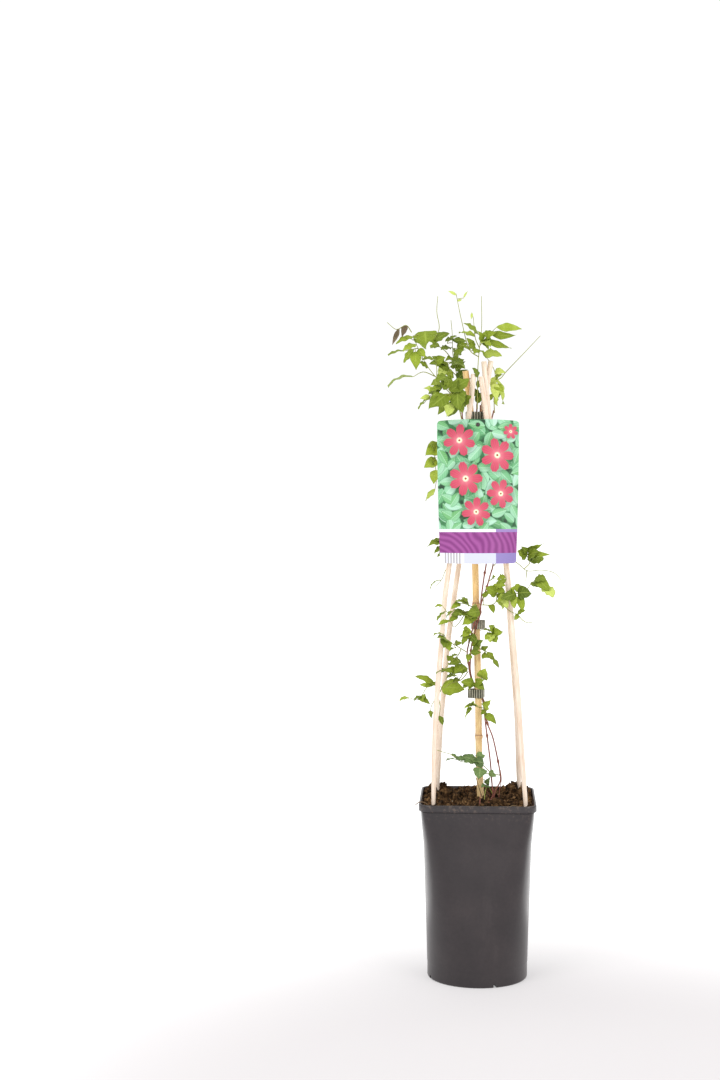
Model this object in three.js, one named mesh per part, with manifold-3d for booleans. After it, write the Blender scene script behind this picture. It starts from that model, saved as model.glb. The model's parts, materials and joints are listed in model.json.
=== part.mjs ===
// A young climbing clematis in a square-topped nursery pot. It climbs a bamboo cane inside four
// thin wooden canes that lean together at the top, is held by ribbed ties and carries a hanging
// picture label. Millimetres, +Z up, the label side faces -Y, origin at the centre of the pot's base.

import * as THREE from 'three';
import { mergeVertices } from 'three/addons/utils/BufferGeometryUtils.js';
import Module from 'manifold-3d';

const wasm = await Module();
wasm.setup();

// Driving dimensions
const gap = 0.3;                 // between pieces that touch
const standTurn = 3.66;          // how far the canes and the plant stand turned in the pot, degrees

const potHeight = 213.6;
const footRadius = 59;           // round foot
const footHeight = 19;
const bodyHalf = 59.5;           // half width of the flat sides at the foot
const sideDraft = 0.019;         // they widen this much a millimetre of height
const shoulderHalf = 65.2;       // where the sides flare out below the lip
const flareStart = 157;
const sideCorner = 9;            // corner radius just below the lip
const cornerEase = 1.15;         // how the corners open out downwards until they meet in the foot
const lipHalf = 68;
const lipCorner = 15;            // corner radius of the lip, seen from above
const lipBand = 8.2;
const lipTop = 2.6;              // flat rim seen from above
const wall = 1.8;
const floorThick = 6.5;
const potPoints = 32;            // points round each section of the pot
const sideHeights = [70, 130, 180];
const insideHeights = [floorThick + 12, ...sideHeights, potHeight - lipBand - 2];

const drainNotch = { wide: 4.5, high: 4.5, deep: 14, turn: 21 };

const soilLevel = 205;
const soilRings = 4;
const soilInset = 0.985;         // the soil's edge stands off the sloping wall
const holeDepth = 190;           // canes and stems reach down to this height

const caneRadius = 3.1;
const caneTip = 0.12;            // this share of a cane's foot end is pointed
const caneTipRadius = 0.62;      // and shrinks to this share of the radius
const caneSteps = 10;
const caneSides = 8;
const bambooRadius = 4.1;
const bambooTopRadius = 3.7;
const bambooNodes = [284, 440, 590];
const bambooSwell = 0.7;         // how far the nodes stand out
const stemRadius = 0.95;

const tieHeight = 10.5;
const tieClear = 0.75;           // between a tie and what it holds
const tieThick = 0.95;
const tieRib = 0.45;
const tieRibs = 20;

const labelWidth = 96;
const labelTop = 655;
const labelBottom = 490;
const labelThick = 0.7;
const labelCorner = 4;
const labelCrown = 2.3;          // the top edge rises this much at its middle
const labelCentre = -1.5;        // x of the label's middle line
const labelEdge = { low: -22.5, high: -13.4 };   // y of its side edges at the bottom and the top
const labelArc = { low: 0.72, high: 0.16 };      // half of the angle that it bows through, radians
const labelHole = { x: -2, z: 650.8, radius: 1.9 };

const bladeThick = 0.7;
const stalkRadius = 0.8;
const petioleHalf = 0.6;
const petioleSink = 0.25;        // into the stalk
const shortestPetiole = 2.4;
const toothedWidth = 7.5;        // broader leaflets have a toothed edge
const foldedWidth = 10.5;        // and broader ones still are folded along the midrib
const bladeArch = 0.3;           // how much a blade arches along its length
const bladeFold = 0.12;          // how much its sides rise
const bladeLean = 24;            // largest extra turn of a blade about its length, degrees

// Routes of the canes, from the foot in the soil to the top end
const caneRoutes = {
  cane_front_left: [[-55, -48, 190], [-54, -45, 212], [-52, -38, 290], [-49, -33, 343],
    [-45, -28, 390], [-40, -22, 450], [-35, -18.8, 487], [-12.3, -8, 659], [-9.2, -6.6, 680],
    [-6.3, -5.2, 710]],
  cane_back_left: [[-46.5, 47, 190], [-45.5, 45, 216], [-42, 38, 296], [-39, 35, 329], [-35, 28, 385],
    [-27, 22, 447], [-22, 18, 484], [3.5, 6.6, 659], [7.2, 7, 680], [14.8, 7, 726]],
  cane_front_right: [[54, -52, 190], [52.5, -50, 211], [49, -40, 263], [44, -33, 343], [40, -28, 390],
    [36, -22, 442], [32, -18, 486], [8.6, -7.2, 659], [6.2, -6.6, 680], [2.3, -5.4, 707]],
  cane_back_right: [[55, 47, 190], [53, 45, 213], [50, 38, 290], [46, 32, 343], [41, 26, 400],
    [34, 18, 486], [12.2, -0.3, 659], [10.2, 0, 680], [6, 1, 725]],
};
const bambooRoute = [[4.2, 0, 190], [3.2, 0, 222], [1.6, 0, 263], [0.6, 0, 327], [-1, 0, 393],
  [-2.2, 0, 430], [-3.4, 0, 484], [-6, 0.3, 560], [-8, 0.6, 630], [-9, 1, 660], [-10.6, 1.6, 680],
  [-13, 1.2, 697], [-15.5, 0, 714]];

// Routes of the reddish-brown climbing stems, which all grow from one crown
const stemRoutes = [
  [[18, -6, 192], [18, -5, 213], [17, -4, 225], [16, -4, 238], [15, -4, 251], [12, -4, 276],
    [9.5, -4, 295], [8, -3, 308], [7, 0, 321], [4.5, 4.5, 330], [-1, 6.4, 338], [-6.5, 3, 348],
    [-10, -3, 361], [-11.5, -5, 372], [-13, -5, 383], [-11.5, -6, 393], [-9, -7.5, 402],
    [-7, -9.6, 412], [-4, -10, 421], [0, -8.6, 430], [4, -6.5, 444], [7, -6, 452], [11, -6, 465],
    [14, -6, 476], [17, -6, 487], [15, -5.5, 520], [12, -5, 570], [6, -4, 620], [-1.8, -1, 655],
    [-2, -1, 676]],
  [[18, -5, 210], [21, -4.5, 221], [26.5, -4, 232], [26, -4, 242], [22, -4, 264], [17, -4, 285],
    [11.5, -4, 299], [9.5, -2.5, 308], [9, 1.5, 321], [5.5, 6, 330], [0, 7.6, 339], [-6, 5, 350],
    [-9, 0, 362], [-9, -3.5, 376], [-8, -6, 392], [-5, -8, 404], [-2.5, -9.6, 416], [2, -8.4, 430],
    [3, -6.5, 446], [5, -6.5, 462], [7, -6.5, 476], [9, -6.5, 488], [11, -6, 530], [13, -4, 580],
    [9, -2, 620], [2.4, -0.8, 655], [2, -1, 674]],
  [[12, -5, 570], [8, -6.5, 590], [-2, -7, 606], [-12, -4.8, 622], [-17, -2.5, 640],
    [-19, -2, 655], [-19.5, -3, 666]],
  [[13, -4, 580], [12.5, -2, 604], [11.5, 4, 620], [9, 10, 640], [15, 9, 655], [18.5, 8.5, 668]],
  [[9, 10, 640], [2, 13, 650], [-6.5, 12, 666]],
];

// Leafy side shoots. Each has its stalks, the first of which starts at the climbing stem, and its
// leaflets: base of the blade, tip of the blade, width and, where it isn't 0, the turn in degrees.
const shoots = {
  spray_low: {
    stalks: [
      [[24, -7, 239], [16, -12, 242], [7, -16, 251], [-7, -24, 259], [-21, -30, 259], [-33, -27, 267],
        [-42, -22, 269], [-49, -20, 271]],
      [[18, -11, 241], [8, -20, 244], [1, -27, 251.5]]],
    leaflets: [
      [[5, -18, 254], [-20, -30, 265], 7, 40], [[2, -16, 259], [0, -8, 267], 8, 30],
      [[0, -28, 252], [-1, -38, 240], 11], [[-8, -26, 257], [-18, -34, 260], 6, 40],
      [[-22, -30, 259], [-39, -42, 263], 5, 30], [[-23, -30, 260], [-32, -20, 266], 5, 50]],
  },
  spray_crown: {
    stalks: [[[17, -8, 217], [12, -14, 227], [7, -20, 233]]],
    leaflets: [[[13, -13, 225], [5, -24, 237], 6, 20]],
  },
  spray_below_tie: {
    stalks: [[[7, -4, 320], [8, -8, 317], [8, -10, 311]],
      [[7.5, -6, 318], [-2, -12, 321], [-7, -16, 323], [-12, -21, 319]]],
    leaflets: [
      [[8, -9, 318], [12, -18, 329], 9], [[8, -10, 312], [20, -24, 303], 8],
      [[-7, -16, 322], [-18, -26, 320], 5, 30], [[-10, -19, 320], [-16, -30, 309], 5, 50],
      [[-5, -14, 322], [-6, -24, 327], 7]],
  },
  spray_far_left: {
    stalks: [[[-13, -2, 361], [-20, -7, 352], [-33, -10, 348], [-41, -12, 343], [-51, -14, 348],
      [-61, -18, 344], [-66, -19, 336], [-72, -20, 330], [-82, -23, 333]]],
    leaflets: [
      [[-52, -14, 348], [-74, -30, 359], 8], [[-53, -13, 346], [-69, -4, 346], 6],
      [[-68, -20, 336], [-65, -30, 329], 9], [[-82, -23, 333], [-93, -33, 331], 6, 50]],
  },
  spray_mid_left: {
    stalks: [[[-12, -5, 365], [-22, -7, 364], [-33, -2, 361], [-40, 2, 365]],
      [[-16, -6, 365], [-22, 1, 352], [-30, 6, 351], [-38, 10, 347], [-42, 12, 341]]],
    leaflets: [
      [[-41, 11, 340], [-16, 1, 340], 18], [[-17, -7, 365], [-35, 8, 369], 7, 20],
      [[-18, -9, 368], [-29, -22, 361], 10], [[-25, 2, 356], [-38, -6, 353], 6, 20]],
  },
  spray_mid_pair: {
    stalks: [[[-14, -6, 385], [-28, -16, 394], [-36, -34, 399], [-40, -38, 404]],
      [[-20, -11, 389], [-23, -14, 383], [-31, -20, 376], [-38, -30, 370], [-43, -38, 366]]],
    leaflets: [
      [[-41, -38, 407], [-54, -43, 408], 8, 30], [[-38, -38, 402], [-50, -50, 405], 11],
      [[-38, -37, 403], [-42, -43, 393], 8], [[-28, -19, 397], [-20, -27, 397], 6, 30],
      [[-22, -14, 383], [-32, -24, 381], 6, 30], [[-43, -38, 366], [-51, -40, 363], 5, 30],
      [[-31, -20, 376], [-36, -12, 381], 7]],
  },
  spray_above_tie: {
    stalks: [[[-9, -4, 354], [-9, -9, 350], [-4, -13, 349], [2, -12, 351], [4, -10, 354]]],
    leaflets: [
      [[-6, -13, 349], [-21, -23, 351], 9], [[-3, -13, 350], [5, -24, 353], 8, 20],
      [[4, -10, 354], [8, -21, 366], 12], [[-9, -12, 349], [-11, -20, 342], 6]],
  },
  spray_cane_side: {
    stalks: [[[-11, -7, 381], [-5, -10, 388], [0, -12, 389], [10, -10, 385], [17, -8, 377],
      [22, -10, 369]], [[-5, -10, 388], [-5, -12, 396]]],
    leaflets: [
      [[-5, -12, 391], [-5, -18, 406], 8], [[-7, -10, 386], [1, -20, 391], 7, 30],
      [[4, -7, 381], [11, -10, 379], 8], [[10, -10, 385], [19, -4, 375], 7, 20],
      [[-10, -10, 382], [-14, -20, 375], 7]],
  },
  spray_tie_left: {
    stalks: [[[-11, -9, 402], [-12, -12, 408], [-11, -13, 413]]],
    leaflets: [[[-11, -13, 413], [-19, -17, 404], 8], [[-12, -12, 408], [-21, -9, 402], 6, 40],
      [[-12, -11, 404], [-19, -20, 394], 8]],
  },
  spray_upper_left: {
    stalks: [
      [[-2, -12, 429], [-9, -14, 431], [-19, -16, 433], [-28, -20, 436], [-34, -23, 431],
        [-38, -35, 434], [-44, -38, 442]],
      [[-5, -13, 430], [-8, -16, 438], [-13, -19, 441], [-23, -24, 443], [-31, -26, 438]],
      [[-16, -15.5, 432], [-20, -14, 424], [-29, -18, 415], [-34, -19, 423]]],
    leaflets: [
      [[-11, -18, 442], [-29, -29, 445], 12], [[-7, -14, 428], [-25, -23, 429], 15],
      [[-9, -14, 427], [-20, -26, 419], 11], [[-31, -22, 434], [-38, -16, 425], 6, 30],
      [[-8, -16, 437], [-4, -24, 441], 8], [[-44, -38, 442], [-53, -42, 440], 6, 50],
      [[-39, -36, 435], [-50, -42, 425], 6, 50]],
  },
  spray_cluster_right: {
    stalks: [
      [[5, -9, 440], [16, -14, 441], [22, -22, 448], [27, -27, 452], [40, -31, 455],
        [52, -30, 457], [61, -27, 468], [67, -25, 472]],
      [[20, -19, 446], [20, -25, 456], [19, -27, 462]],
      [[22, -22, 448], [28, -27, 441], [36, -30, 434], [44, -28, 431]]],
    leaflets: [
      [[22, -24, 454], [8, -32, 463], 15], [[19, -27, 462], [29, -35, 465], 9],
      [[42, -31, 454], [24, -42, 450], 12], [[44, -31, 456], [58, -41, 457], 16],
      [[47, -30, 458], [42, -22, 465], 9], [[64, -26, 469], [76, -34, 473], 10],
      [[60, -27, 465], [70, -20, 463], 7], [[68, -25, 471], [80, -34, 459], 13],
      [[39, -33, 451], [40, -42, 439], 9],
      [[23, -22, 449], [30, -12, 456], 8], [[23, -23, 446], [26, -32, 438], 11],
      [[14, -14, 439], [16, -23, 432], 8], [[44, -28, 431], [52, -34, 436], 8]],
  },
  spray_fork: {
    stalks: [[[13, -9, 468], [16, -14, 471], [22, -17, 471]]],
    leaflets: [[[15, -13, 471], [18, -22, 475], 6], [[21, -17, 471], [30, -24, 474], 8]],
  },
  spray_tie_right: {
    stalks: [[[-12, -2, 396], [-9, 5, 403], [0, 8.5, 408], [8, 2, 410], [15, -12, 409],
      [16, -18, 407]]],
    leaflets: [
      [[15, -16, 408], [5, -22, 412], 7, 20], [[15, -16, 409], [12, -26, 418], 7],
      [[16, -17, 408], [26, -27, 411], 8], [[16, -19, 406], [19, -28, 398], 8]],
  },
  spray_label_right: {
    stalks: [[[19, -4, 486], [28, 1, 495], [38, 5, 493], [47, 2, 488], [57, -3, 480], [74, -8, 481],
      [88, -12, 478], [96, -15, 470]],
      [[54, -2, 482.5], [61, 4, 489], [58, 8, 497], [59, 9, 506]], [[57, -3, 480], [55, -10, 468]]],
    leaflets: [
      [[58, 8, 497], [46, 1, 503], 13], [[59, 7, 495], [71, -6, 503], 14],
      [[61, 5, 491], [78, 11, 493], 11], [[60, 7, 499], [84, -6, 499], 7, 50],
      [[59, 9, 506], [77, 2, 512], 6, 40]],
  },
  spray_label_left_low: {
    stalks: [[[14, -3, 505], [5, 8, 504], [-12, 12, 498], [-28, 10, 491], [-37, 6, 482],
      [-43, -6, 470], [-50, -13, 463]], [[-28, 10, 491], [-37, 5, 503], [-41, 2, 514]]],
    leaflets: [
      [[-41, 2, 515], [-60, -8, 508], 11], [[-39, 4, 507], [-52, -8, 500], 10],
      [[-43, -8, 469], [-57, -21, 460], 6, 30]],
  },
  spray_label_left: {
    stalks: [[[-14, -3, 622], [-26, 0, 628], [-42, 4, 629], [-50, 1, 621], [-51, -2, 606],
      [-49, -3, 590], [-51, -3, 576]]],
    leaflets: [
      [[-44, 4, 627], [-62, -4, 615], 14], [[-49, 0, 610], [-64, -6, 601], 10],
      [[-50, -2, 598], [-53, -11, 582], 9], [[-51, -4, 576], [-62, -9, 562], 6, 30]],
  },
  spray_top_low_left: {
    stalks: [
      [[-20, -4, 656], [-22, -10, 664], [-25, -20, 672], [-33, -30, 686], [-41, -35, 696]],
      [[-33, -30, 686], [-46, -36, 685], [-56, -40, 685], [-66, -42, 674]]],
    leaflets: [
      [[-36, -38, 704], [-52, -47, 699], 15], [[-44, -34, 694], [-60, -26, 686], 8],
      [[-40, -38, 684], [-60, -53, 668], 18], [[-60, -41, 680], [-72, -44, 668], 6, 40],
      [[-36, -30, 680], [-49, -22, 662], 8], [[-29, -25, 678], [-36, -17, 660], 12],
      [[-25, -26, 692], [-25, -33, 667], 17], [[-34, -30, 690], [-12, -16, 703], 15]],
  },
  spray_top_left: {
    stalks: [
      [[-21, -2, 664], [-28, -12, 680], [-39, -20, 692], [-51, -27, 705], [-62, -32, 719],
        [-72, -36, 738], [-78, -38, 753]],
      [[-52, -27.5, 706], [-66, -34, 711], [-78, -41, 705]],
      [[-50, -26.5, 704], [-50, -23, 715], [-51, -20, 725]],
      [[-72, -36, 738], [-86, -44, 735]]],
    leaflets: [
      [[-64, -31, 758], [-63, -45, 739], 24], [[-75, -38, 734], [-75, -46, 713], 11],
      [[-77, -34, 737], [-88, -24, 722], 8], [[-86, -44, 735], [-107, -55, 729], 6, 50],
      [[-77, -38, 751], [-98, -48, 742], 8], [[-74, -37, 742], [-90, -52, 734], 8],
      [[-52, -22, 726], [-68, -36, 724], 10],
      [[-77, -41, 704], [-107, -55, 693], 8, 50]],
  },
  spray_top_middle: {
    stalks: [
      [[-7, 14, 664], [-18, 22, 690], [-25, 27, 714], [-29, 25, 735], [-30, 19, 757], [-32, 11, 774]],
      [[-27, 26, 726], [-38, 20, 738], [-51, 12, 749], [-46, 6, 764], [-49, 2, 783], [-48, 0, 801]],
      [[-24, 26, 708], [-34, 18, 718], [-42, 8, 722]]],
    leaflets: [
      [[-40, 10, 722], [-54, -3, 731], 10], [[-36, 19, 747], [-25, 6, 755], 8],
      [[-29, 21, 751], [-13, 29, 751], 7, 40], [[-50, 11, 750], [-35, 0, 758], 9, 20],
      [[-28, 22, 731], [-15, 10, 739], 11], [[-33, -4, 724], [-17, -19, 717], 13],
      [[-41, 7, 721], [-39, -8, 707], 10],
      [[-28, 28, 738], [-20, 42, 736], 10], [[-45, 16, 743], [-56, 24, 743], 8]],
  },
  spray_top_centre: {
    stalks: [
      [[-1.5, -3, 669], [-1.5, -4, 700], [-1, -5, 722], [1, -6, 745], [3, -4, 763], [3, 0, 801]],
      [[1, -6, 743], [9, -10, 753], [20, -14, 764]],
      [[-1, -5, 730], [-10, 4, 738], [-20, 10, 775], [-26, 12, 805]],
      [[1, -6, 740], [-4, -3, 751], [-6, 3, 774]]],
    leaflets: [
      [[-1, -7, 756], [-19, -20, 768], 9], [[-5, -3, 754], [-23, 8, 759], 8, 40],
      [[3, -9, 748], [-3, -21, 759], 8], [[-9, 3, 739], [-22, 14, 745], 7, 30],
      [[8, -10, 751], [19, -23, 758], 7], [[14, -12, 756], [42, -26, 754], 9, 50],
      [[20, -14, 764], [48, -34, 760], 9, 40], [[4, -8, 747], [12, -26, 740], 10],
      [[8, -9, 749], [38, -2, 740], 8, 40], [[-26, 12, 803], [-35, 13, 808], 4],
      [[-19, 10, 774], [-11, 14, 808], 4]],
  },
  spray_top_right: {
    stalks: [
      [[20, 10, 665], [19, 15, 688], [20, 18, 714], [11, 13, 729], [6, 7, 733]],
      [[20, 17, 704], [27, 21, 706], [33, 24, 713], [56, 28, 737], [75, 30, 757]]],
    leaflets: [
      [[7, 6, 734], [26, -8, 732], 10], [[10, 13, 731], [14, 20, 741], 8],
      [[21, 17, 714], [32, 10, 713], 7, 30], [[21, 15, 708], [15, 19, 696], 7],
      [[20, 13, 700], [21, 5, 680], 9], [[23, 20, 703], [31, 30, 676], 9],
      [[19, 16, 684], [24, 26, 674], 9]],
  },
};

const witheredLeaf = {
  stalks: [[[-79.5, -39, 756], [-86, -41, 764], [-97, -44, 759], [-108, -46, 767]]],
  leaflets: [[[-86, -41, 763], [-98, -46, 757], 9], [[-96, -44, 759], [-102, -48, 741], 9],
    [[-88, -41, 763], [-89, -40, 753], 7]],
};

const materials = {
  pot: { color: 0x474345, roughness: 0.55 },
  soil: { color: 0x4a3428, roughness: 1 },
  cane: { color: 0xecd9c6, roughness: 0.75 },
  bamboo: { color: 0xcfa678, roughness: 0.6 },
  tie: { color: 0x7d7c6c, roughness: 0.6 },
  label: { color: 0x8fc79d, roughness: 0.4 },
  pin: { color: 0x2c2a26, roughness: 0.6 },
  stem: { color: 0x8a4f3a, roughness: 0.8 },
  leaf: { color: 0x7f9a3a, roughness: 0.6 },
  withered: { color: 0x7c5d45, roughness: 0.9 },
};

const group = new THREE.Group();

function add(name, geometry, material) {
  const mesh = new THREE.Mesh(geometry, new THREE.MeshStandardMaterial({ metalness: 0, ...material }));
  mesh.name = name;
  group.add(mesh);
}

function vector(point) {
  return new THREE.Vector3(...point);
}

function smooth(points) {
  return new THREE.CatmullRomCurve3(points.map(vector), false, 'centripetal');
}

// --- Solids ---

function meshOf(points, faces) {
  const geometry = new THREE.BufferGeometry().setFromPoints(points);
  geometry.setIndex(faces.flat());
  return geometry;
}

// A closed body through rings of points that run anticlockwise about the way from first to last.
function skin(rings) {
  const count = rings[0].length;
  const middle = (ring) => ring.reduce((sum, p) => sum.add(p), new THREE.Vector3()).divideScalar(count);
  const points = [...rings.flat(), middle(rings[0]), middle(rings.at(-1))];
  const first = points.length - 2;
  const last = points.length - 1;
  const faces = [];
  for (let j = 0; j < count; j += 1) {
    const next = (j + 1) % count;
    faces.push([first, next, j]);
    for (let i = 0; i + 1 < rings.length; i += 1) {
      const low = i * count;
      const high = low + count;
      faces.push([low + j, low + next, high + next], [low + j, high + next, high + j]);
    }
    const end = (rings.length - 1) * count;
    faces.push([last, end + j, end + next]);
  }
  return meshOf(points, faces);
}

// A round bar along a curve; radiusAt gives its radius at 0 (start) to 1 (end).
function bar(curve, radiusAt, sides, steps) {
  const frames = curve.computeFrenetFrames(steps, false);
  const rings = [];
  for (let i = 0; i <= steps; i += 1) {
    const centre = curve.getPointAt(i / steps);
    const radius = radiusAt(i / steps);
    rings.push(Array.from({ length: sides }, (_, j) => {
      const angle = (j / sides) * Math.PI * 2;
      return centre.clone()
        .addScaledVector(frames.normals[i], Math.cos(angle) * radius)
        .addScaledVector(frames.binormals[i], Math.sin(angle) * radius);
    }));
  }
  return skin(rings);
}

// A thin sheet over a grid of points, thickened along one normal a point, split alike on both faces.
function sheet(grid, normals, thick) {
  const rows = grid.length;
  const columns = grid[0].length;
  const shifted = (side) => grid.flatMap((row, i) => row.map(
    (p, j) => p.clone().addScaledVector(normals[i][j], side * thick / 2)));
  const points = [...shifted(1), ...shifted(-1)];
  const back = rows * columns;
  const at = (i, j) => i * columns + j;
  const faces = [];
  for (let i = 0; i + 1 < rows; i += 1) {
    for (let j = 0; j + 1 < columns; j += 1) {
      const [a, b, c, d] = [at(i, j), at(i, j + 1), at(i + 1, j + 1), at(i + 1, j)];
      faces.push([a, b, c], [a, c, d]);
      faces.push([back + a, back + c, back + b], [back + a, back + d, back + c]);
    }
  }
  const wallBetween = (a, b) => faces.push([b, a, back + a], [b, back + a, back + b]);
  for (let j = 0; j + 1 < columns; j += 1) {
    wallBetween(at(0, j), at(0, j + 1));
    wallBetween(at(rows - 1, j + 1), at(rows - 1, j));
  }
  for (let i = 0; i + 1 < rows; i += 1) {
    wallBetween(at(i + 1, 0), at(i, 0));
    wallBetween(at(i, columns - 1), at(i + 1, columns - 1));
  }
  return meshOf(points, faces);
}

function solid(geometry) {
  const bare = new THREE.BufferGeometry();
  bare.setAttribute('position', geometry.getAttribute('position').clone());
  if (geometry.index) {
    bare.setIndex(geometry.index.clone());
  }
  const merged = mergeVertices(bare, 1e-4);
  return new wasm.Manifold(new wasm.Mesh({
    numProp: 3,
    vertProperties: new Float32Array(merged.getAttribute('position').array),
    triVerts: new Uint32Array(merged.index.array),
  }));
}

function geometryOf(manifold) {
  const mesh = manifold.getMesh();
  const geometry = new THREE.BufferGeometry();
  geometry.setAttribute('position', new THREE.BufferAttribute(mesh.vertProperties, 3));
  geometry.setIndex(new THREE.BufferAttribute(mesh.triVerts, 1));
  return geometry;
}

// Fuses pieces to one body. What fusing seals off inside is filled, and loose scraps are dropped.
function joined(geometries) {
  const whole = geometries.map(solid).reduce((sum, piece) => sum.add(piece));
  const bodies = whole.decompose();
  return geometryOf(bodies.reduce((best, body) => (body.volume() > best.volume() ? body : best)));
}

function without(geometry, cutters) {
  return geometryOf(cutters.map(solid).reduce((left, cutter) => left.subtract(cutter), solid(geometry)));
}

// --- Pot ---

// Distance from the centre to a rounded square, in the direction of an angle.
function roundedSquare(half, corner, angle) {
  const quarter = Math.PI / 2;
  const turned = Math.abs(angle - Math.round(angle / quarter) * quarter);
  const flatEnd = Math.atan2(half - corner, half);
  if (turned <= flatEnd) {
    return half / Math.cos(turned);
  }
  const along = (half - corner) * (Math.cos(turned) + Math.sin(turned));
  return along + Math.sqrt(along * along - 2 * (half - corner) ** 2 + corner * corner);
}

// The body: a square with round corners, which open out downwards into the round foot.
function bodySection(z, inset, angle) {
  const half = halfAt(z) - inset;
  return roundedSquare(half, Math.min(half, cornerAt(z) - inset), angle);
}

function cornerAt(z) {
  const rise = THREE.MathUtils.clamp((z - footHeight) / (potHeight - lipBand - footHeight), 0, 1);
  return THREE.MathUtils.lerp(bodyHalf, sideCorner, rise ** cornerEase);
}

function halfAt(z) {
  const lipFloor = potHeight - lipBand;
  const draft = (top) => sideDraft * Math.max(0, top - footHeight);
  const flare = THREE.MathUtils.smoothstep(z, flareStart, lipFloor);
  return bodyHalf + draft(z) + (shoulderHalf - bodyHalf - draft(lipFloor)) * flare;
}

function ringAt(z, count, distance) {
  return Array.from({ length: count }, (_, j) => {
    const angle = (j / count) * Math.PI * 2;
    const reach = distance(angle);
    return new THREE.Vector3(Math.cos(angle) * reach, Math.sin(angle) * reach, z);
  });
}

// The outside and the hollow are split into triangles alike, so the wall is even.
function makePot() {
  const lipFloor = potHeight - lipBand;
  const round = (radius) => () => radius;
  const body = (z) => (angle) => bodySection(z, 0, angle);
  const lip = (inset) => (angle) => roundedSquare(lipHalf - inset, lipCorner - inset, angle);
  const rings = (sections) => sections.map(([z, distance]) => ringAt(z, potPoints, distance));
  const outside = [
    [0, round(footRadius - 1.6)],
    [1.4, round(footRadius)],
    [footHeight - 2.5, round(footRadius)],
    [footHeight, round(bodyHalf)],
    ...sideHeights.map((z) => [z, body(z)]),
    [lipFloor, body(lipFloor)],
    [lipFloor, lip(0.9)],
    [lipFloor + 0.9, lip(0)],
    [potHeight - 0.9, lip(0)],
    [potHeight, lip(0.9)],
  ];
  const hollow = [
    [floorThick, round(footRadius - 3)],
    ...insideHeights.map((z) => [z, (angle) => bodySection(z, wall, angle)]),
    [potHeight, lip(lipTop)],
    [potHeight + 1, lip(lipTop)],
  ];
  return without(skin(rings(outside)), [skin(rings(hollow)), ...notches()]);
}

function notches() {
  const { wide, high, deep, turn } = drainNotch;
  return [0, 90, 180, 270].map((quarter) => {
    const notch = new THREE.BoxGeometry(wide, deep * 2, high * 2);
    notch.translate(0, -footRadius, 0);
    return notch.rotateZ(THREE.MathUtils.degToRad(turn + quarter));
  });
}

// --- Soil ---

function seeded(seed) {
  let state = seed;
  return () => {
    state = (state * 1664525 + 1013904223) % 4294967296;
    return state / 4294967296;
  };
}

const random = seeded(11);
const mounds = Array.from({ length: 46 }, () => ({
  x: (random() - 0.5) * 110,
  y: (random() - 0.5) * 110,
  height: (random() - 0.4) * 4.5,
  spread: 6 + random() * 8,
}));
mounds.push({ x: 37, y: 38, height: 9, spread: 10 }, { x: 52, y: 50, height: 6, spread: 8 },
  { x: -54, y: -46, height: 5, spread: 9 });

function soilHeight(x, y) {
  return mounds.reduce((z, mound) => {
    const away = ((x - mound.x) ** 2 + (y - mound.y) ** 2) / mound.spread ** 2;
    return z + mound.height * Math.exp(-away);
  }, soilLevel);
}

function makeSoil(holes) {
  const inset = wall + gap;
  const low = floorThick + gap;
  const rings = [ringAt(low, potPoints, () => footRadius - 3 - gap * 2)];
  for (const z of insideHeights.slice(0, -1)) {
    rings.push(ringAt(z, potPoints, (angle) => bodySection(z, inset, angle)));
  }
  for (let i = soilRings; i > 0; i -= 1) {
    const share = (i / soilRings) * (i === soilRings ? soilInset : 1);
    const ring = ringAt(soilLevel, potPoints, (angle) => share * bodySection(sideHeights.at(-1), inset, angle));
    rings.push(ring.map((p) => p.setZ(soilHeight(p.x, p.y))));
  }
  return without(skin(rings), holes);
}

// --- Canes ---

// The holes in the soil are canes and stems that are a little wider and start a little lower.
function lowered([[x, y, z], ...rest]) {
  return [[x, y, z - gap], ...rest];
}

function caneRadiusAt(share) {
  return caneRadius * THREE.MathUtils.lerp(caneTipRadius, 1, Math.min(1, share / caneTip));
}

function makeCane(route, extra) {
  return bar(smooth(route), (share) => caneRadiusAt(share) + extra, caneSides, caneSteps);
}

function bambooRadiusAt(curve, share) {
  const z = curve.getPointAt(share).z;
  const taper = THREE.MathUtils.lerp(bambooRadius, bambooTopRadius, share);
  return bambooNodes.some((node) => Math.abs(z - node) < 2.5) ? taper + bambooSwell : taper;
}

function makeBamboo(route, extra) {
  const curve = smooth(route);
  const length = curve.getLength();
  const stops = [0, 1];
  for (let i = 1; i < caneSteps; i += 1) {
    stops.push(i / caneSteps);
  }
  for (const node of bambooNodes) {
    const share = (node - holeDepth) / (bambooRoute.at(-1)[2] - holeDepth);
    for (const shift of [-4, -1.5, 1.5, 4]) {
      stops.push(share + shift / length);
    }
  }
  stops.sort((a, b) => a - b);
  const rings = stops.map((share) => {
    const centre = curve.getPointAt(share);
    const radius = bambooRadiusAt(curve, share) + extra;
    const aside = new THREE.Vector3(centre.x, centre.y, 0);
    return ringAt(centre.z, caneSides, () => radius).map((p) => p.add(aside));
  });
  return skin(rings);
}

// --- Stems ---

const mainStems = stemRoutes.slice(0, 2);
const stemCurves = stemRoutes.map(smooth);

function stemBar(curve, extra) {
  return bar(curve, (share) => stemRadius - 0.15 * share + extra, 4, stalkSteps(curve));
}

// --- Ties ---

function centreAt(route, z) {
  const curve = smooth(route);
  const samples = curve.getSpacedPoints(400);
  return samples.reduce((best, p) => (Math.abs(p.z - z) < Math.abs(best.z - z) ? p : best));
}

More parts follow.
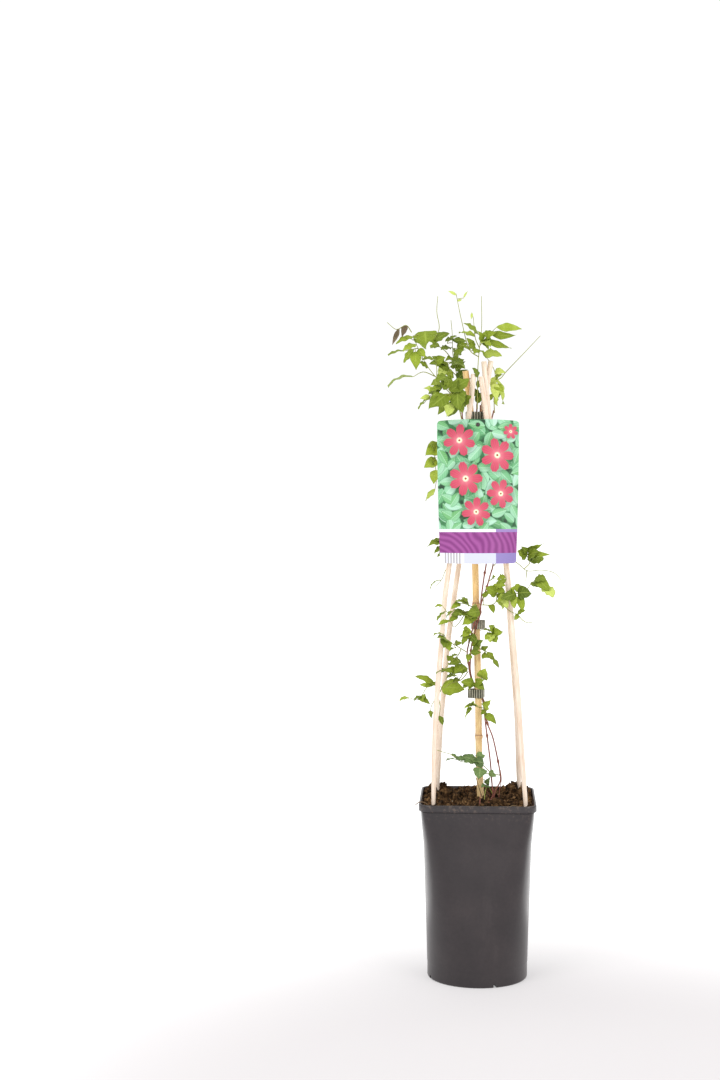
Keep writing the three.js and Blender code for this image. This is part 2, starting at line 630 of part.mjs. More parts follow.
// The outline of a tape drawn tight round a bundle of round things.
function tapeOutline(rounds, offset) {
  const hull = new THREE.Path(Array.from({ length: 48 }, (_, j) => {
    const angle = (j / 48) * Math.PI * 2;
    const way = new THREE.Vector2(Math.cos(angle), Math.sin(angle));
    const reach = (round) => round.x * way.x + round.y * way.y + round.radius;
    const outermost = rounds.reduce((best, round) => (reach(round) > reach(best) ? round : best));
    return new THREE.Vector2(outermost.x, outermost.y).addScaledVector(way, outermost.radius + offset);
  }));
  hull.closePath();
  return hull.getSpacedPoints(tieRibs * 2).slice(0, -1);
}

function makeTie(rounds, z) {
  const ridges = tapeOutline(rounds, tieClear + tieThick + tieRib);
  const valleys = tapeOutline(rounds, tieClear + tieThick);
  const shape = new THREE.Shape(ridges.map((p, j) => (j % 2 ? p : valleys[j])));
  shape.holes.push(new THREE.Path(tapeOutline(rounds, tieClear).reverse()));
  const band = new THREE.ExtrudeGeometry(shape, { depth: tieHeight, bevelEnabled: false });
  return geometryOf(solid(band.translate(0, 0, z - tieHeight / 2)));
}

// Where a cane or stem runs through a tie: its section at the tie's lower edge, middle and top.
function through(route, z, radius) {
  return [-0.55, 0, 0.55].map((share) => {
    const { x, y } = centreAt(route, z + share * tieHeight);
    return { x, y, radius };
  });
}

// --- Label ---

function makeLabel() {
  const columns = 9;
  const heights = [0, 0.024, 0.35, 0.68, 0.976, 1];
  const grid = [];
  const normals = [];
  for (const share of heights) {
    const height = labelTop - labelBottom;
    const inset = cornerInset(Math.min(share, 1 - share) * height);
    const row = [];
    const facing = [];
    for (let j = 0; j < columns; j += 1) {
      const across = (j / (columns - 1)) * 2 - 1;
      row.push(labelPoint(across * (labelWidth / 2 - inset), share));
      facing.push(labelNormal(across * (labelWidth / 2 - inset), share));
    }
    grid.push(row);
    normals.push(facing);
  }
  const hole = new THREE.CylinderGeometry(labelHole.radius, labelHole.radius, 20, 12);
  return without(sheet(grid, normals, labelThick), [hole.translate(labelHole.x, -15, labelHole.z)]);
}

function cornerInset(fromEnd) {
  const short = Math.max(0, labelCorner - fromEnd);
  return labelCorner - Math.sqrt(labelCorner ** 2 - short ** 2);
}

// The card is nearly flat at the top and bows forward in the middle towards its lower edge.
function labelBend(share) {
  const angle = THREE.MathUtils.lerp(labelArc.low, labelArc.high, share);
  const edge = THREE.MathUtils.lerp(labelEdge.low, labelEdge.high, share);
  return { angle, radius: labelWidth / 2 / angle, edge };
}

function labelPoint(along, share) {
  const { angle, radius, edge } = labelBend(share);
  const turn = along / radius;
  const crown = labelCrown * share * (1 - (2 * along / labelWidth) ** 2);
  const z = THREE.MathUtils.lerp(labelBottom, labelTop, share) + crown;
  const x = Math.sin(turn) * radius + labelCentre;
  const forward = (Math.cos(turn) - Math.cos(angle)) * radius;
  return new THREE.Vector3(x, edge - forward, z);
}

function labelNormal(along, share) {
  const turn = along / labelBend(share).radius;
  return new THREE.Vector3(Math.sin(turn), -Math.cos(turn), 0);
}

function makePin() {
  const profile = [[0, -1.2], [1.4, -1.2], [2.4, -0.6], [2.4, 0], [1.4, 0], [1.4, 11], [0, 11]];
  const pin = new THREE.LatheGeometry(profile.map(([r, y]) => new THREE.Vector2(r, y)), 12);
  const front = labelPoint(labelHole.x - labelCentre, 0.975).y - labelThick / 2 - gap * 2;
  return geometryOf(solid(pin.translate(labelHole.x, front, labelHole.z)));
}

// --- Leaves ---

// Blade outlines: the share of the length and the half width there, as a share of the width.
const toothedBlade = [[0, 0.14], [0.22, 0.86], [0.5, 1], [0.62, 0.7], [1, 0.05]];
const smallBlade = [[0, 0.2], [0.3, 0.95], [0.6, 0.8], [1, 0.08]];

function bladeFrame(base, tip, turn) {
  const along = tip.clone().sub(base).normalize();
  const lean = Math.sin(base.x * 0.9 + base.z * 0.37) * bladeLean;
  const light = new THREE.Vector3(0, -1, 0.6);
  const facing = light.clone().addScaledVector(along, -along.dot(light));
  facing.normalize().applyAxisAngle(along, THREE.MathUtils.degToRad(turn + lean));
  const side = new THREE.Vector3().crossVectors(along, facing);
  return { along, facing, side };
}

// A leaflet: its blade and its own short stalk, which starts at the root on the main stalk. The
// short stalk is the blade's first strip or, where the blade turns back over it, a thin bar.
function leaflet(stalks, [basePoint, tipPoint, width, turn = 0]) {
  const base = vector(basePoint);
  const tip = vector(tipPoint);
  const root = nearest(stalks, base);
  if (base.distanceTo(root) < shortestPetiole) {
    base.copy(root);
  }
  const { along, facing, side } = bladeFrame(base, tip, turn);
  const steps = width > foldedWidth ? [-1, 0, 1] : [-1, 1];
  const length = base.distanceTo(tip);
  const grid = (width > toothedWidth ? toothedBlade : smallBlade).map(([share, half]) => {
    const middle = base.clone().lerp(tip, share)
      .addScaledVector(facing, length * bladeArch * share * (1 - share));
    return steps.map((across) => middle.clone()
      .addScaledVector(side, across * half * width / 2)
      .addScaledVector(facing, Math.abs(across) * half * width * bladeFold));
  });
  const normals = grid.map((row) => row.map(() => facing));
  if (base.equals(root)) {
    return [sheet(grid, normals, bladeThick)];
  }
  const way = base.clone().sub(root).normalize();
  root.addScaledVector(way, -petioleSink);
  if (way.dot(along) < 0.1) {
    const inside = base.clone().addScaledVector(along, 1);
    const petiole = bar(new THREE.LineCurve3(root, inside), () => petioleHalf, 3, 1);
    return [sheet(grid, normals, bladeThick), petiole];
  }
  const across = new THREE.Vector3().crossVectors(way, facing).normalize();
  across.multiplyScalar(Math.sign(across.dot(side)) || 1);
  const lift = new THREE.Vector3().crossVectors(across, way);
  lift.multiplyScalar(Math.sign(lift.dot(facing)) || 1);
  grid.unshift(steps.map((step) => root.clone().addScaledVector(across, step * petioleHalf)));
  normals.unshift(steps.map(() => lift));
  return [sheet(grid, normals, bladeThick)];
}

function stalkSteps(curve) {
  return Math.max(2, Math.round(curve.getLength() / 15));
}

// The point nearest to a place on the straight lengths that the bars along these curves are made of.
function nearest(curves, place) {
  const found = curves.flatMap((curve) => {
    const stops = curve.getSpacedPoints(stalkSteps(curve));
    return stops.slice(1).map((stop, i) => new THREE.Line3(stops[i], stop)
      .closestPointToPoint(place, true, new THREE.Vector3()));
  });
  return found.reduce((best, p) => (p.distanceTo(place) < best.distanceTo(place) ? p : best));
}

// The first stalk starts just clear of the stem that it grows from.
function besideStem(route) {
  const start = vector(route[0]);
  const root = nearest(stemCurves, start);
  const away = start.clone().sub(root).normalize();
  const clear = root.addScaledVector(away, stemRadius + stalkRadius + gap);
  return [clear.toArray(), ...route.slice(1)];
}

function leafySpray({ stalks, leaflets }, rooted) {
  const curves = [smooth(rooted ? besideStem(stalks[0]) : stalks[0])];
  for (const [start, ...rest] of stalks.slice(1)) {
    curves.push(smooth([nearest(curves, vector(start)).toArray(), ...rest]));
  }
  const bars = curves.map((curve) => bar(curve, (share) => stalkRadius - 0.2 * share, 3,
    stalkSteps(curve)));
  return joined([...bars, ...leaflets.flatMap((each) => leaflet(curves, each))]);
}

// --- Assembly ---

add('pot', makePot(), materials.pot);

// What stands in the pot is made square to it and then turned a little.
function turned(geometry) {
  return geometry.rotateZ(THREE.MathUtils.degToRad(standTurn));
}

const holes = [
  ...Object.values(caneRoutes).map((route) => makeCane(lowered(route), gap)),
  makeBamboo(lowered(bambooRoute), gap),
  ...mainStems.map((route) => stemBar(smooth(lowered(route)), gap)),
];
add('soil', makeSoil(holes.map(turned)), materials.soil);

for (const [name, route] of Object.entries(caneRoutes)) {
  add(name, turned(makeCane(route, 0)), materials.cane);
}
add('bamboo_cane', turned(makeBamboo(bambooRoute, 0)), materials.bamboo);
add('stems', turned(joined(stemCurves.map((curve) => stemBar(curve, 0)))), materials.stem);

const [lowerTieZ, upperTieZ, topTieZ] = [335, 416.5, 661];
const climbing = (z) => mainStems.flatMap((route) => through(route, z, stemRadius));
add('tie_lower', turned(makeTie([...through(bambooRoute, lowerTieZ, bambooRadius),
  ...climbing(lowerTieZ), { x: -8, y: 1, radius: 2 }], lowerTieZ)), materials.tie);
add('tie_upper', turned(makeTie([...through(bambooRoute, upperTieZ, bambooRadius),
  { x: 4.5, y: 0, radius: 2 }], upperTieZ)), materials.tie);
add('tie_top', turned(makeTie([...through(bambooRoute, topTieZ, bambooTopRadius), ...climbing(topTieZ),
  ...through(caneRoutes.cane_back_left, topTieZ, caneRadius)], topTieZ)), materials.tie);

add('label', turned(makeLabel()), materials.label);
add('label_pin', turned(makePin()), materials.pin);

for (const [name, spray] of Object.entries(shoots)) {
  add(name, turned(leafySpray(spray, true)), materials.leaf);
}
add('withered_leaf', turned(leafySpray(witheredLeaf, false)), materials.withered);

export default group;
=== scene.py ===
import json
import math
import random

import bmesh
import bpy
from mathutils import Matrix, Quaternion, Vector, noise
from mathutils.geometry import intersect_point_line

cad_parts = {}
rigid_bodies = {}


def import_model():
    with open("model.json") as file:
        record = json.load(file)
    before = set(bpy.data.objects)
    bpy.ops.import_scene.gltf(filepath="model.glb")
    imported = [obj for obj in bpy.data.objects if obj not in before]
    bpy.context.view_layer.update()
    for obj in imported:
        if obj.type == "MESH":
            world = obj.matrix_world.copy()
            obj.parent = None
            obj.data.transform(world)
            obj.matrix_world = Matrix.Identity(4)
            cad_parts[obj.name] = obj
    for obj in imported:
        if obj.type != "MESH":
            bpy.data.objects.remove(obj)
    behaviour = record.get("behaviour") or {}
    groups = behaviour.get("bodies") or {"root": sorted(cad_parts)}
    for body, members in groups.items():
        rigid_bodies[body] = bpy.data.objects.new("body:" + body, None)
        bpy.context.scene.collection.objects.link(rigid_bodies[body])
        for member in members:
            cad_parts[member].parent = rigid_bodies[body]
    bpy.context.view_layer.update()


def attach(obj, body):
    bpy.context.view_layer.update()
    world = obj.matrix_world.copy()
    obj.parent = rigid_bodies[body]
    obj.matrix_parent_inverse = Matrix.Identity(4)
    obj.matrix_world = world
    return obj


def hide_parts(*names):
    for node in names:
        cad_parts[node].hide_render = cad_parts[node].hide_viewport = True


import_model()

# A young climbing clematis in a square-topped pot, on a bamboo cane inside four thin canes.
# Places and sizes are in millimetres until a mesh is made, which is in metres.

scene = bpy.context.scene
mm = 0.001
standTurn = 3.66  # how far the canes and the plant stand turned in the pot, degrees


# small helpers

def blend(low, high, share):
    return low + (high - low) * share


def circleTurns(count):
    return [j / count * 2 * math.pi for j in range(count)]


def ease(value, low, high):
    share = min(1, max(0, (value - low) / (high - low)))
    return share * share * (3 - 2 * share)


def smoothPath(points, step):
    # a rounded line through the points, as a list of places about step apart
    points = [Vector(p) for p in points]
    ends = [2 * points[0] - points[1], *points, 2 * points[-1] - points[-2]]
    line = [points[0]]
    for a, b, c, d in zip(ends, ends[1:], ends[2:], ends[3:]):
        before, here, after = [max(math.sqrt((q - p).length), 1e-4) for p, q in ((a, b), (b, c), (c, d))]
        leave = ((b - a) / before - (c - a) / (before + here) + (c - b) / here) * here
        arrive = ((c - b) / here - (d - b) / (here + after) + (d - c) / after) * here
        steps = max(2, round((c - b).length / step))
        for i in range(1, steps + 1):
            t = i / steps
            line.append(b * (2 * t**3 - 3 * t**2 + 1) + leave * (t**3 - 2 * t**2 + t)
                        + c * (3 * t**2 - 2 * t**3) + arrive * (t**3 - t**2))
    return line


def nearest(lines, point):
    # the point of some lines that is nearest to a place
    best = None
    for line in lines:
        for a, b in zip(line, line[1:]):
            found, share = intersect_point_line(point, a, b)
            found = a if share < 0 else b if share > 1 else found
            if best is None or (found - point).length < (best - point).length:
                best = found
    return best


def newMesh(name, verts, faces):
    mesh = bpy.data.meshes.new(name)
    mesh.from_pydata([Vector(v) * mm for v in verts], [], faces)
    mesh.update()
    return mesh


def newPiece(name, mesh, material, nodes, turned=True, sharp=None):
    if sharp:
        smoothShade(mesh, sharp)
    if turned:
        mesh.transform(Matrix.Rotation(math.radians(standTurn), 4, "Z"))
    piece = linked(name, mesh)
    if material and not mesh.materials:
        mesh.materials.append(material)
    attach(piece, "root")
    if nodes:
        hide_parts(*nodes)
    return piece


def smoothShade(mesh, angle):
    mesh.shade_smooth()
    mesh.set_sharp_from_angle(angle=math.radians(angle))


def fromBmesh(bm, mesh):
    # writes the built shape, with its faces turned outwards, into a mesh
    bmesh.ops.recalc_face_normals(bm, faces=bm.faces)
    bm.to_mesh(mesh)
    bm.free()
    return mesh


def outwards(mesh):
    bm = bmesh.new()
    bm.from_mesh(mesh)
    return fromBmesh(bm, mesh)


def keepValues(mesh, name, kind, values):
    # one number or vector for each vertex
    data = mesh.attributes.new(name, kind, "POINT").data
    data.foreach_set("vector" if kind == "FLOAT_VECTOR" else "value", values)


def ringSkin(rings):
    # faces of a closed body through rings with the same number of places
    count = len(rings[0])
    verts = [p for ring in rings for p in ring]
    faces = []
    for i in range(len(rings) - 1):
        for j in range(count):
            k = (j + 1) % count
            faces.append((i * count + j, i * count + k, (i + 1) * count + k, (i + 1) * count + j))
    for ring in (rings[0], rings[-1]):
        verts.append(sum(ring, Vector()) / count)
    last = (len(rings) - 1) * count
    for j in range(count):
        k = (j + 1) % count
        faces.append((len(verts) - 2, k, j))
        faces.append((len(verts) - 1, last + j, last + k))
    return verts, faces


# node helpers

def addNode(tree, kind, inputs=None, **settings):
    node = tree.nodes.new(kind)
    for name, value in settings.items():
        setattr(node, name, value)
    for name, value in (inputs or {}).items():
        socket = node.inputs[name]
        if isinstance(value, bpy.types.NodeSocket):
            tree.links.new(value, socket)
        else:
            socket.default_value = value
    return node


def made(tree, kind, inputs=None, **settings):
    # the first output of a new node
    return addNode(tree, kind, inputs, **settings).outputs[0]


def link(value, node, socket):
    node.id_data.links.new(value, node.inputs[socket])


def maths(operation, *values):
    tree = next(v for v in values if isinstance(v, bpy.types.NodeSocket)).id_data
    return made(tree, "ShaderNodeMath", dict(enumerate(values)), operation=operation)


def times(a, b):
    return maths("MULTIPLY", a, b)


def plus(a, b):
    return maths("ADD", a, b)


def minus(a, b):
    return maths("SUBTRACT", a, b)


def linear(shade):
    # a screen colour of 0 to 255 as the linear colour that shaders take
    shares = [v / 255 for v in shade]
    return (*[s / 12.92 if s <= 0.04045 else ((s + 0.055) / 1.055) ** 2.4 for s in shares], 1)


def mixed(factor, low, high, kind="RGBA"):
    # the ends are sockets, screen colours or, for kind "FLOAT", numbers
    first, last, result = {"RGBA": (6, 7, 2), "FLOAT": (2, 3, 0)}[kind]
    low, high = [linear(v) if isinstance(v, tuple) and len(v) == 3 else v for v in (low, high)]
    node = addNode(factor.id_data, "ShaderNodeMix", {0: factor}, data_type=kind)
    for index, value in ((first, low), (last, high)):
        if isinstance(value, bpy.types.NodeSocket):
            link(value, node, index)
        else:
            node.inputs[index].default_value = value
    return node.outputs[result]


def tint(colour, mask, share, shade):
    # a share of another colour laid over a colour where the mask is
    return mixed(times(mask, share), colour, shade)


def ramp(factor, *stops):
    # stops are (position, screen colour)
    node = addNode(factor.id_data, "ShaderNodeValToRGB", {"Fac": factor})
    while len(node.color_ramp.elements) < len(stops):
        node.color_ramp.elements.new(0.5)
    for element, (position, shade) in zip(node.color_ramp.elements, stops):
        element.position = position
        element.color = linear(shade)
    return node.outputs["Color"]


def step(value, low, high):
    return made(value.id_data, "ShaderNodeMapRange", {"Value": value, "From Min": low, "From Max": high},
                interpolation_type="SMOOTHSTEP")


def grain(vector, scale, detail=4, rough=0.55, stretch=(1, 1, 1)):
    tree = vector.id_data
    mapping = made(tree, "ShaderNodeMapping", {"Vector": vector, "Scale": stretch})
    return addNode(tree, "ShaderNodeTexNoise", {"Vector": mapping, "Scale": scale,
                   "Detail": detail, "Roughness": rough}).outputs["Fac"]


def newMaterial(name, roughness=0.6, **fixed):
    material = bpy.data.materials.new(name)
    material.use_nodes = True
    tree = material.node_tree
    shader = tree.nodes["Principled BSDF"]
    shader.inputs["Roughness"].default_value = roughness
    for socket, value in fixed.items():
        shader.inputs[socket.replace("_", " ")].default_value = value
    return material, tree, shader


def coat(shader, colour, height, strength, distance):
    # the shader's colour and its relief
    link(colour, shader, "Base Color")
    inputs = {"Height": height, "Strength": strength, "Distance": distance}
    link(made(shader.id_data, "ShaderNodeBump", inputs), shader, "Normal")


def objectPlace(tree):
    return addNode(tree, "ShaderNodeTexCoord").outputs["Object"]


def ownValue(tree, name):
    return addNode(tree, "ShaderNodeAttribute", attribute_name=name).outputs["Fac"]


def ownPlace(tree, name):
    return addNode(tree, "ShaderNodeAttribute", attribute_name=name).outputs["Vector"]


def split(vector):
    # the parts of a vector socket, along X, Y and Z
    return addNode(vector.id_data, "ShaderNodeSeparateXYZ", {0: vector}).outputs


def newTree(name, kind, inputs, outputs):
    # a node tree with named sockets, its start's outputs and its end
    tree = bpy.data.node_groups.new(name, kind)
    for way, sockets in (("INPUT", inputs), ("OUTPUT", outputs)):
        for title, sort in sockets.items():
            tree.interface.new_socket(title, in_out=way, socket_type="NodeSocket" + sort)
    return tree, addNode(tree, "NodeGroupInput").outputs, addNode(tree, "NodeGroupOutput")


def newShaderGroup(name, inputs, outputs):
    # one vector input, Place, and numbers
    sockets = {"Place": "Vector", **{title: "Float" for title in inputs}}
    return newTree(name, "ShaderNodeTree", sockets, {title: "Float" for title in outputs})


def newShapeTree(name, inputs):
    sockets = {"Geometry": "Geometry", **inputs, "Material": "Material"}
    return newTree(name, "GeometryNodeTree", sockets, {"Geometry": "Geometry"})


def paint(tree, geometry, start, end):
    # the last nodes of each tree that makes a shape
    whole = made(tree, "GeometryNodeRealizeInstances", {"Geometry": geometry})
    painted = made(tree, "GeometryNodeSetMaterial", {"Geometry": whole, "Material": start["Material"]})
    link(painted, end, 0)


# shared shader group: soft uneven tone at two scales

def makeUnevenGroup():
    group, start, end = newShaderGroup("unevenTone", ("Large", "Small"), ("Tone", "Fine"))
    large = addNode(group, "ShaderNodeTexNoise", {"Vector": start["Place"], "Scale": start["Large"],
                    "Detail": 3}).outputs["Fac"]
    small = addNode(group, "ShaderNodeTexNoise", {"Vector": start["Place"], "Scale": start["Small"],
                    "Detail": 6, "Roughness": 0.7}).outputs["Fac"]
    link(maths("MULTIPLY_ADD", small, 0.35, times(large, 0.65)), end, "Tone")
    link(small, end, "Fine")
    return group


unevenTone = makeUnevenGroup()


def uneven(vector, large, small):
    node = addNode(vector.id_data, "ShaderNodeGroup", {"Place": vector, "Large": large, "Small": small},
                   node_tree=unevenTone)
    return node.outputs["Tone"], node.outputs["Fine"]


# bars along paths: canes, stems and stalks share one tree

def makeBarTree():
    tree, start, end = newShapeTree("barAlongPath", {"Sides": "Int"})
    curve = made(tree, "GeometryNodeMeshToCurve", {"Mesh": start["Geometry"]})
    along = addNode(tree, "GeometryNodeCaptureAttribute", {"Geometry": curve})
    along.capture_items.new("FLOAT", "along")
    link(addNode(tree, "GeometryNodeSplineParameter").outputs["Length"], along, "along")
    circle = made(tree, "GeometryNodeCurvePrimitiveCircle", {"Resolution": start["Sides"], "Radius": 1.0})
    about = addNode(tree, "GeometryNodeCaptureAttribute", {"Geometry": circle})
    about.capture_items.new("VECTOR", "about")
    link(made(tree, "GeometryNodeInputPosition"), about, "about")
    thickness = addNode(tree, "GeometryNodeInputNamedAttribute", {"Name": "thickness"}, data_type="FLOAT")
    skin = made(tree, "GeometryNodeCurveToMesh", {"Curve": along.outputs[0], "Fill Caps": True,
                "Profile Curve": about.outputs[0], "Scale": thickness.outputs["Attribute"]})
    side = split(about.outputs["about"])
    mark = made(tree, "ShaderNodeCombineXYZ", {"X": side[0], "Y": side[1], "Z": along.outputs["along"]})
    kept = addNode(tree, "GeometryNodeStoreNamedAttribute", {"Geometry": skin, "Name": "barPlace"},
                   data_type="FLOAT_VECTOR", domain="POINT")
    link(mark, kept, "Value")
    paint(tree, kept.outputs[0], start, end)
    return tree


barTree = makeBarTree()


def plainMesh(obj):
    # the object's mesh with its modifiers carried out
    sight = bpy.context.evaluated_depsgraph_get()
    sight.update()
    return bpy.data.meshes.new_from_object(obj.evaluated_get(sight), preserve_all_data_layers=True,
                                           depsgraph=sight)


def runTree(tree, obj, **inputs):
    # the tree's result on an object as a plain mesh
    modifier = obj.modifiers.new("made", "NODES")
    modifier.node_group = tree
    names = {s.name: s.identifier for s in tree.interface.items_tree if s.in_out == "INPUT"}
    for name, value in inputs.items():
        modifier[names[name]] = value
    mesh = plainMesh(obj)
    obj.modifiers.remove(modifier)
    return mesh


def linked(name, mesh):
    obj = bpy.data.objects.new(name, mesh)
    scene.collection.objects.link(obj)
    return obj


def cutAway(mesh, cutters):
    # a mesh with the shapes of other meshes cut out of it
    body = linked("body", mesh)
    tools = [linked("cutter", cutter) for cutter in cutters]
    for tool in tools:
        cut = body.modifiers.new("cut", "BOOLEAN")
        cut.operation, cut.object, cut.solver = "DIFFERENCE", tool, "EXACT"
    result = plainMesh(body)
    for used in (body, *tools):
        bpy.data.objects.remove(used)
    return result


def sheetFaces(rows, columns):
    # faces of a closed sheet whose front and back are grids of rows and columns
    wide = columns + 1
    size = (rows + 1) * wide
    faces = []
    for i in range(rows):
        for j in range(columns):
            a = i * wide + j
            quad = (a, a + 1, a + wide + 1, a + wide)
            faces += [quad, tuple(size + k for k in reversed(quad))]
    rim = [*range(wide), *[i * wide + columns for i in range(1, rows + 1)]]
    rim += [rows * wide + j for j in range(columns - 1, -1, -1)] + [i * wide for i in range(rows - 1, 0, -1)]
    return faces + [(b, a, size + a, size + b) for a, b in zip(rim, rim[1:] + rim[:1])]


def barsMesh(name, lines, sides, material):
    # lines are (places, radii); the result is one mesh with a closed bar for each
    verts, edges, radii = [], [], []
    for places, radius in lines:
        first = len(verts)
        verts += [p * mm for p in places]
        radii += [r * mm for r in radius]
        edges += [(first + i, first + i + 1) for i in range(len(places) - 1)]
    mesh = bpy.data.meshes.new(name)
    mesh.from_pydata(verts, edges, [])
    keepValues(mesh, "thickness", "FLOAT", radii)
    path = linked(name + "Path", mesh)
    result = runTree(barTree, path, Sides=sides, Material=material)
    bpy.data.objects.remove(path)
    result.name = name
    return result


def joinMeshes(name, meshes):
    objects = [linked(name, mesh) for mesh in meshes]
    with bpy.context.temp_override(active_object=objects[0], selected_editable_objects=objects,
                                   selected_objects=objects, object=objects[0]):
        bpy.ops.object.join()
    mesh = objects[0].data
    bpy.data.objects.remove(objects[0])
    return mesh


# pot

pot = {
    "height": 213.6, "footRadius": 59, "footHeight": 19, "footEdge": 2.2, "footStep": 0.1,
    "side": 59.3, "draft": 0.021, "shoulder": 65.2, "flareStart": 157, "sideCorner": 9, "cornerEase": 1.15,
    "lip": 68, "lipCorner": 15, "lipBand": 8.2, "rim": 2.6, "wall": 1.8, "floor": 6.5,
    "notchWide": 4.5, "notchHigh": 4.5, "notchDeep": 28, "notchCorner": 1.2, "notchTurn": 21, "points": 192,
}
lipFloor = pot["height"] - pot["lipBand"]


def roundedSquare(half, corner, angle):
    turned = abs(angle - round(angle / (math.pi / 2)) * math.pi / 2)
    if turned <= math.atan2(half - corner, half):
        return half / math.cos(turned)
    along = (half - corner) * (math.cos(turned) + math.sin(turned))
    return along + math.sqrt(along**2 - 2 * (half - corner) ** 2 + corner**2)


def bodySection(z, angle, inset=0):
    rise = min(1, max(0, (z - pot["footHeight"]) / (lipFloor - pot["footHeight"])))
    draft, most = [pot["draft"] * max(0, high - pot["footHeight"]) for high in (z, lipFloor)]
    flare = (pot["shoulder"] - pot["side"] - most) * ease(z, pot["flareStart"], lipFloor)
    half = pot["side"] + draft + flare - inset
    corner = blend(pot["side"], pot["sideCorner"], rise ** pot["cornerEase"]) - inset
    return roundedSquare(half, min(half, corner), angle)


def potRing(z, distance, count=None):
    turns = circleTurns(count or pot["points"])
    return [Vector((math.cos(a) * distance(a), math.sin(a) * distance(a), z)) for a in turns]


def makePotMesh():
    foot, high, edge = pot["footRadius"], pot["footHeight"], pot["footEdge"]
    rounds = [(0, foot - 14), (0.5, foot - 12), (0.5, foot - 6), (0, foot - edge - 1.6), (0, foot - edge),
              (0.3, foot - edge * 0.55), (1.0, foot - edge * 0.2), (edge, foot - 0.05), (edge + 0.6, foot),
              (high - 3.4, foot), (high - 2.2, foot + 0.03), (high - 1.0, foot + 0.06)]
    rings = [potRing(z, lambda a, r=r: r) for z, r in rounds]
    for z in [high + 0.2, high + 1.4, high + 4, *range(28, 206, 5), lipFloor - 0.6]:
        rings.append(potRing(z, lambda a, z=z: max(bodySection(z, a), foot + pot["footStep"])))
    lips = [(lipFloor - 0.1, 4.0), (lipFloor, 1.2), (lipFloor + 0.15, 0.5), (lipFloor + 0.6, 0.08),
            (lipFloor + 1.4, 0), (pot["height"] - 1.8, 0.15), (pot["height"] - 0.8, 0.35),
            (pot["height"] - 0.2, 0.8), (pot["height"], 1.4), (pot["height"], 1.9),
            (pot["height"] - 0.25, 2.4), (pot["height"] - 1.0, pot["rim"] + 0.1)]
    for z, inset in lips:
        rings.append(potRing(z, lambda a, i=inset: roundedSquare(pot["lip"] - i, pot["lipCorner"] - i, a)))
    wall = pot["wall"]
    for z in (lipFloor - 1, lipFloor - 6, 190, 175, 150, 120, 90, 60, 35, pot["floor"] + 8):
        rings.append(potRing(z, lambda a, z=z: min(bodySection(z, a, wall),
                                                   roundedSquare(pot["lip"] - pot["rim"] - 0.4, 10, a))))
    rings.append(potRing(pot["floor"], lambda a: foot - 6))
    return outwards(newMesh("pot", *ringSkin(rings)))


def makeNotch(turn):
    # a block with round edges that cuts one drain notch into the foot
    block = bmesh.new()
    bmesh.ops.create_cube(block, size=1)
    size = Vector((pot["notchWide"], pot["notchDeep"], pot["notchHigh"] * 2)) * mm
    bmesh.ops.scale(block, vec=size, verts=block.verts)
    lengthwise = [e for e in block.edges if abs(e.verts[0].co.y - e.verts[1].co.y) > size.y / 2]
    bmesh.ops.bevel(block, geom=lengthwise, offset=pot["notchCorner"] * mm, segments=4, profile=0.5,
                    affect="EDGES")
    bmesh.ops.translate(block, vec=(0, -pot["footRadius"] * mm, 0), verts=block.verts)
    bmesh.ops.rotate(block, cent=(0, 0, 0), matrix=Matrix.Rotation(turn, 3, "Z"), verts=block.verts)
    return fromBmesh(block, bpy.data.meshes.new("notch"))


def potPlastic():
    material, tree, shader = newMaterial("potPlastic", roughness=0.5, Specular_IOR_Level=0.5)
    spot = objectPlace(tree)
    tone, fine = uneven(spot, 22, 260)
    colour = ramp(tone, (0.3, (38, 33, 35)), (0.5, (46, 40, 42)), (0.72, (56, 49, 50)))
    rub = grain(spot, 30, 5, 0.65, (1.5, 1.5, 0.28))
    colour = tint(colour, step(rub, 0.58, 0.85), 0.25, (80, 72, 72))
    height = split(spot)[2]
    dust = times(step(height, 0.19, 0.214), step(fine, 0.52, 0.66))
    colour = tint(colour, dust, 0.5, (112, 96, 84))
    link(maths("MULTIPLY_ADD", fine, 0.1, 0.26), shader, "Roughness")
    waves = grain(spot, 70, 3, 0.5, (1, 1, 0.2))
    coat(shader, colour, maths("MULTIPLY_ADD", fine, 0.12, waves), 0.25, 0.0005)
    return material


notchTurns = [math.radians(pot["notchTurn"] + 90 * quarter) for quarter in range(4)]
potMesh = cutAway(makePotMesh(), [makeNotch(turn) for turn in notchTurns])
newPiece("nurseryPot", potMesh, potPlastic(), ["pot"], turned=False, sharp=38)
print("pot made")


# soil

soil = {"level": 205, "points": 168, "rings": 64, "gap": 0.5, "coarse": 5.6, "clod": 5.6, "fine": 1.6,
        "backRise": 3.2, "edgeRise": 2.6, "crownRise": 6,
        # bits are scattered where the soil faces up this much and lies above this height
        "upward": 0.2, "lowest": 199}
mounds = [(37, 38, 11, 10), (52, 50, 8, 9), (-54, -46, 1, 9), (-30, 20, 3, 14), (4, -34, 3, 12),
          (-46, 50, 3, 12),
          (-8, 52, 3, 12)]


def soilHeight(x, y, edge):
    z = soil["level"] + soil["backRise"] * ease(y, 5, 50) + soil["edgeRise"] * ease(max(abs(x), y), 46, 62)
    z += soil["crownRise"] * math.exp(-((x - 10) ** 2 + (y + 4) ** 2) / 18**2)
    for cx, cy, high, wide in mounds:
        z += high * math.exp(-((x - cx) ** 2 + (y - cy) ** 2) / wide**2)
    lump = noise.fractal(Vector((x, y, 3)) / 11, 0.6, 2.1, 5)
    clod = noise.noise(Vector((x, y, 7)) / 4.5)
    crumb = noise.noise(Vector((x, y, 9)) / 1.9)
    return z + (lump * soil["coarse"] + abs(clod) * soil["clod"] - 0.8 + crumb * soil["fine"]) * edge


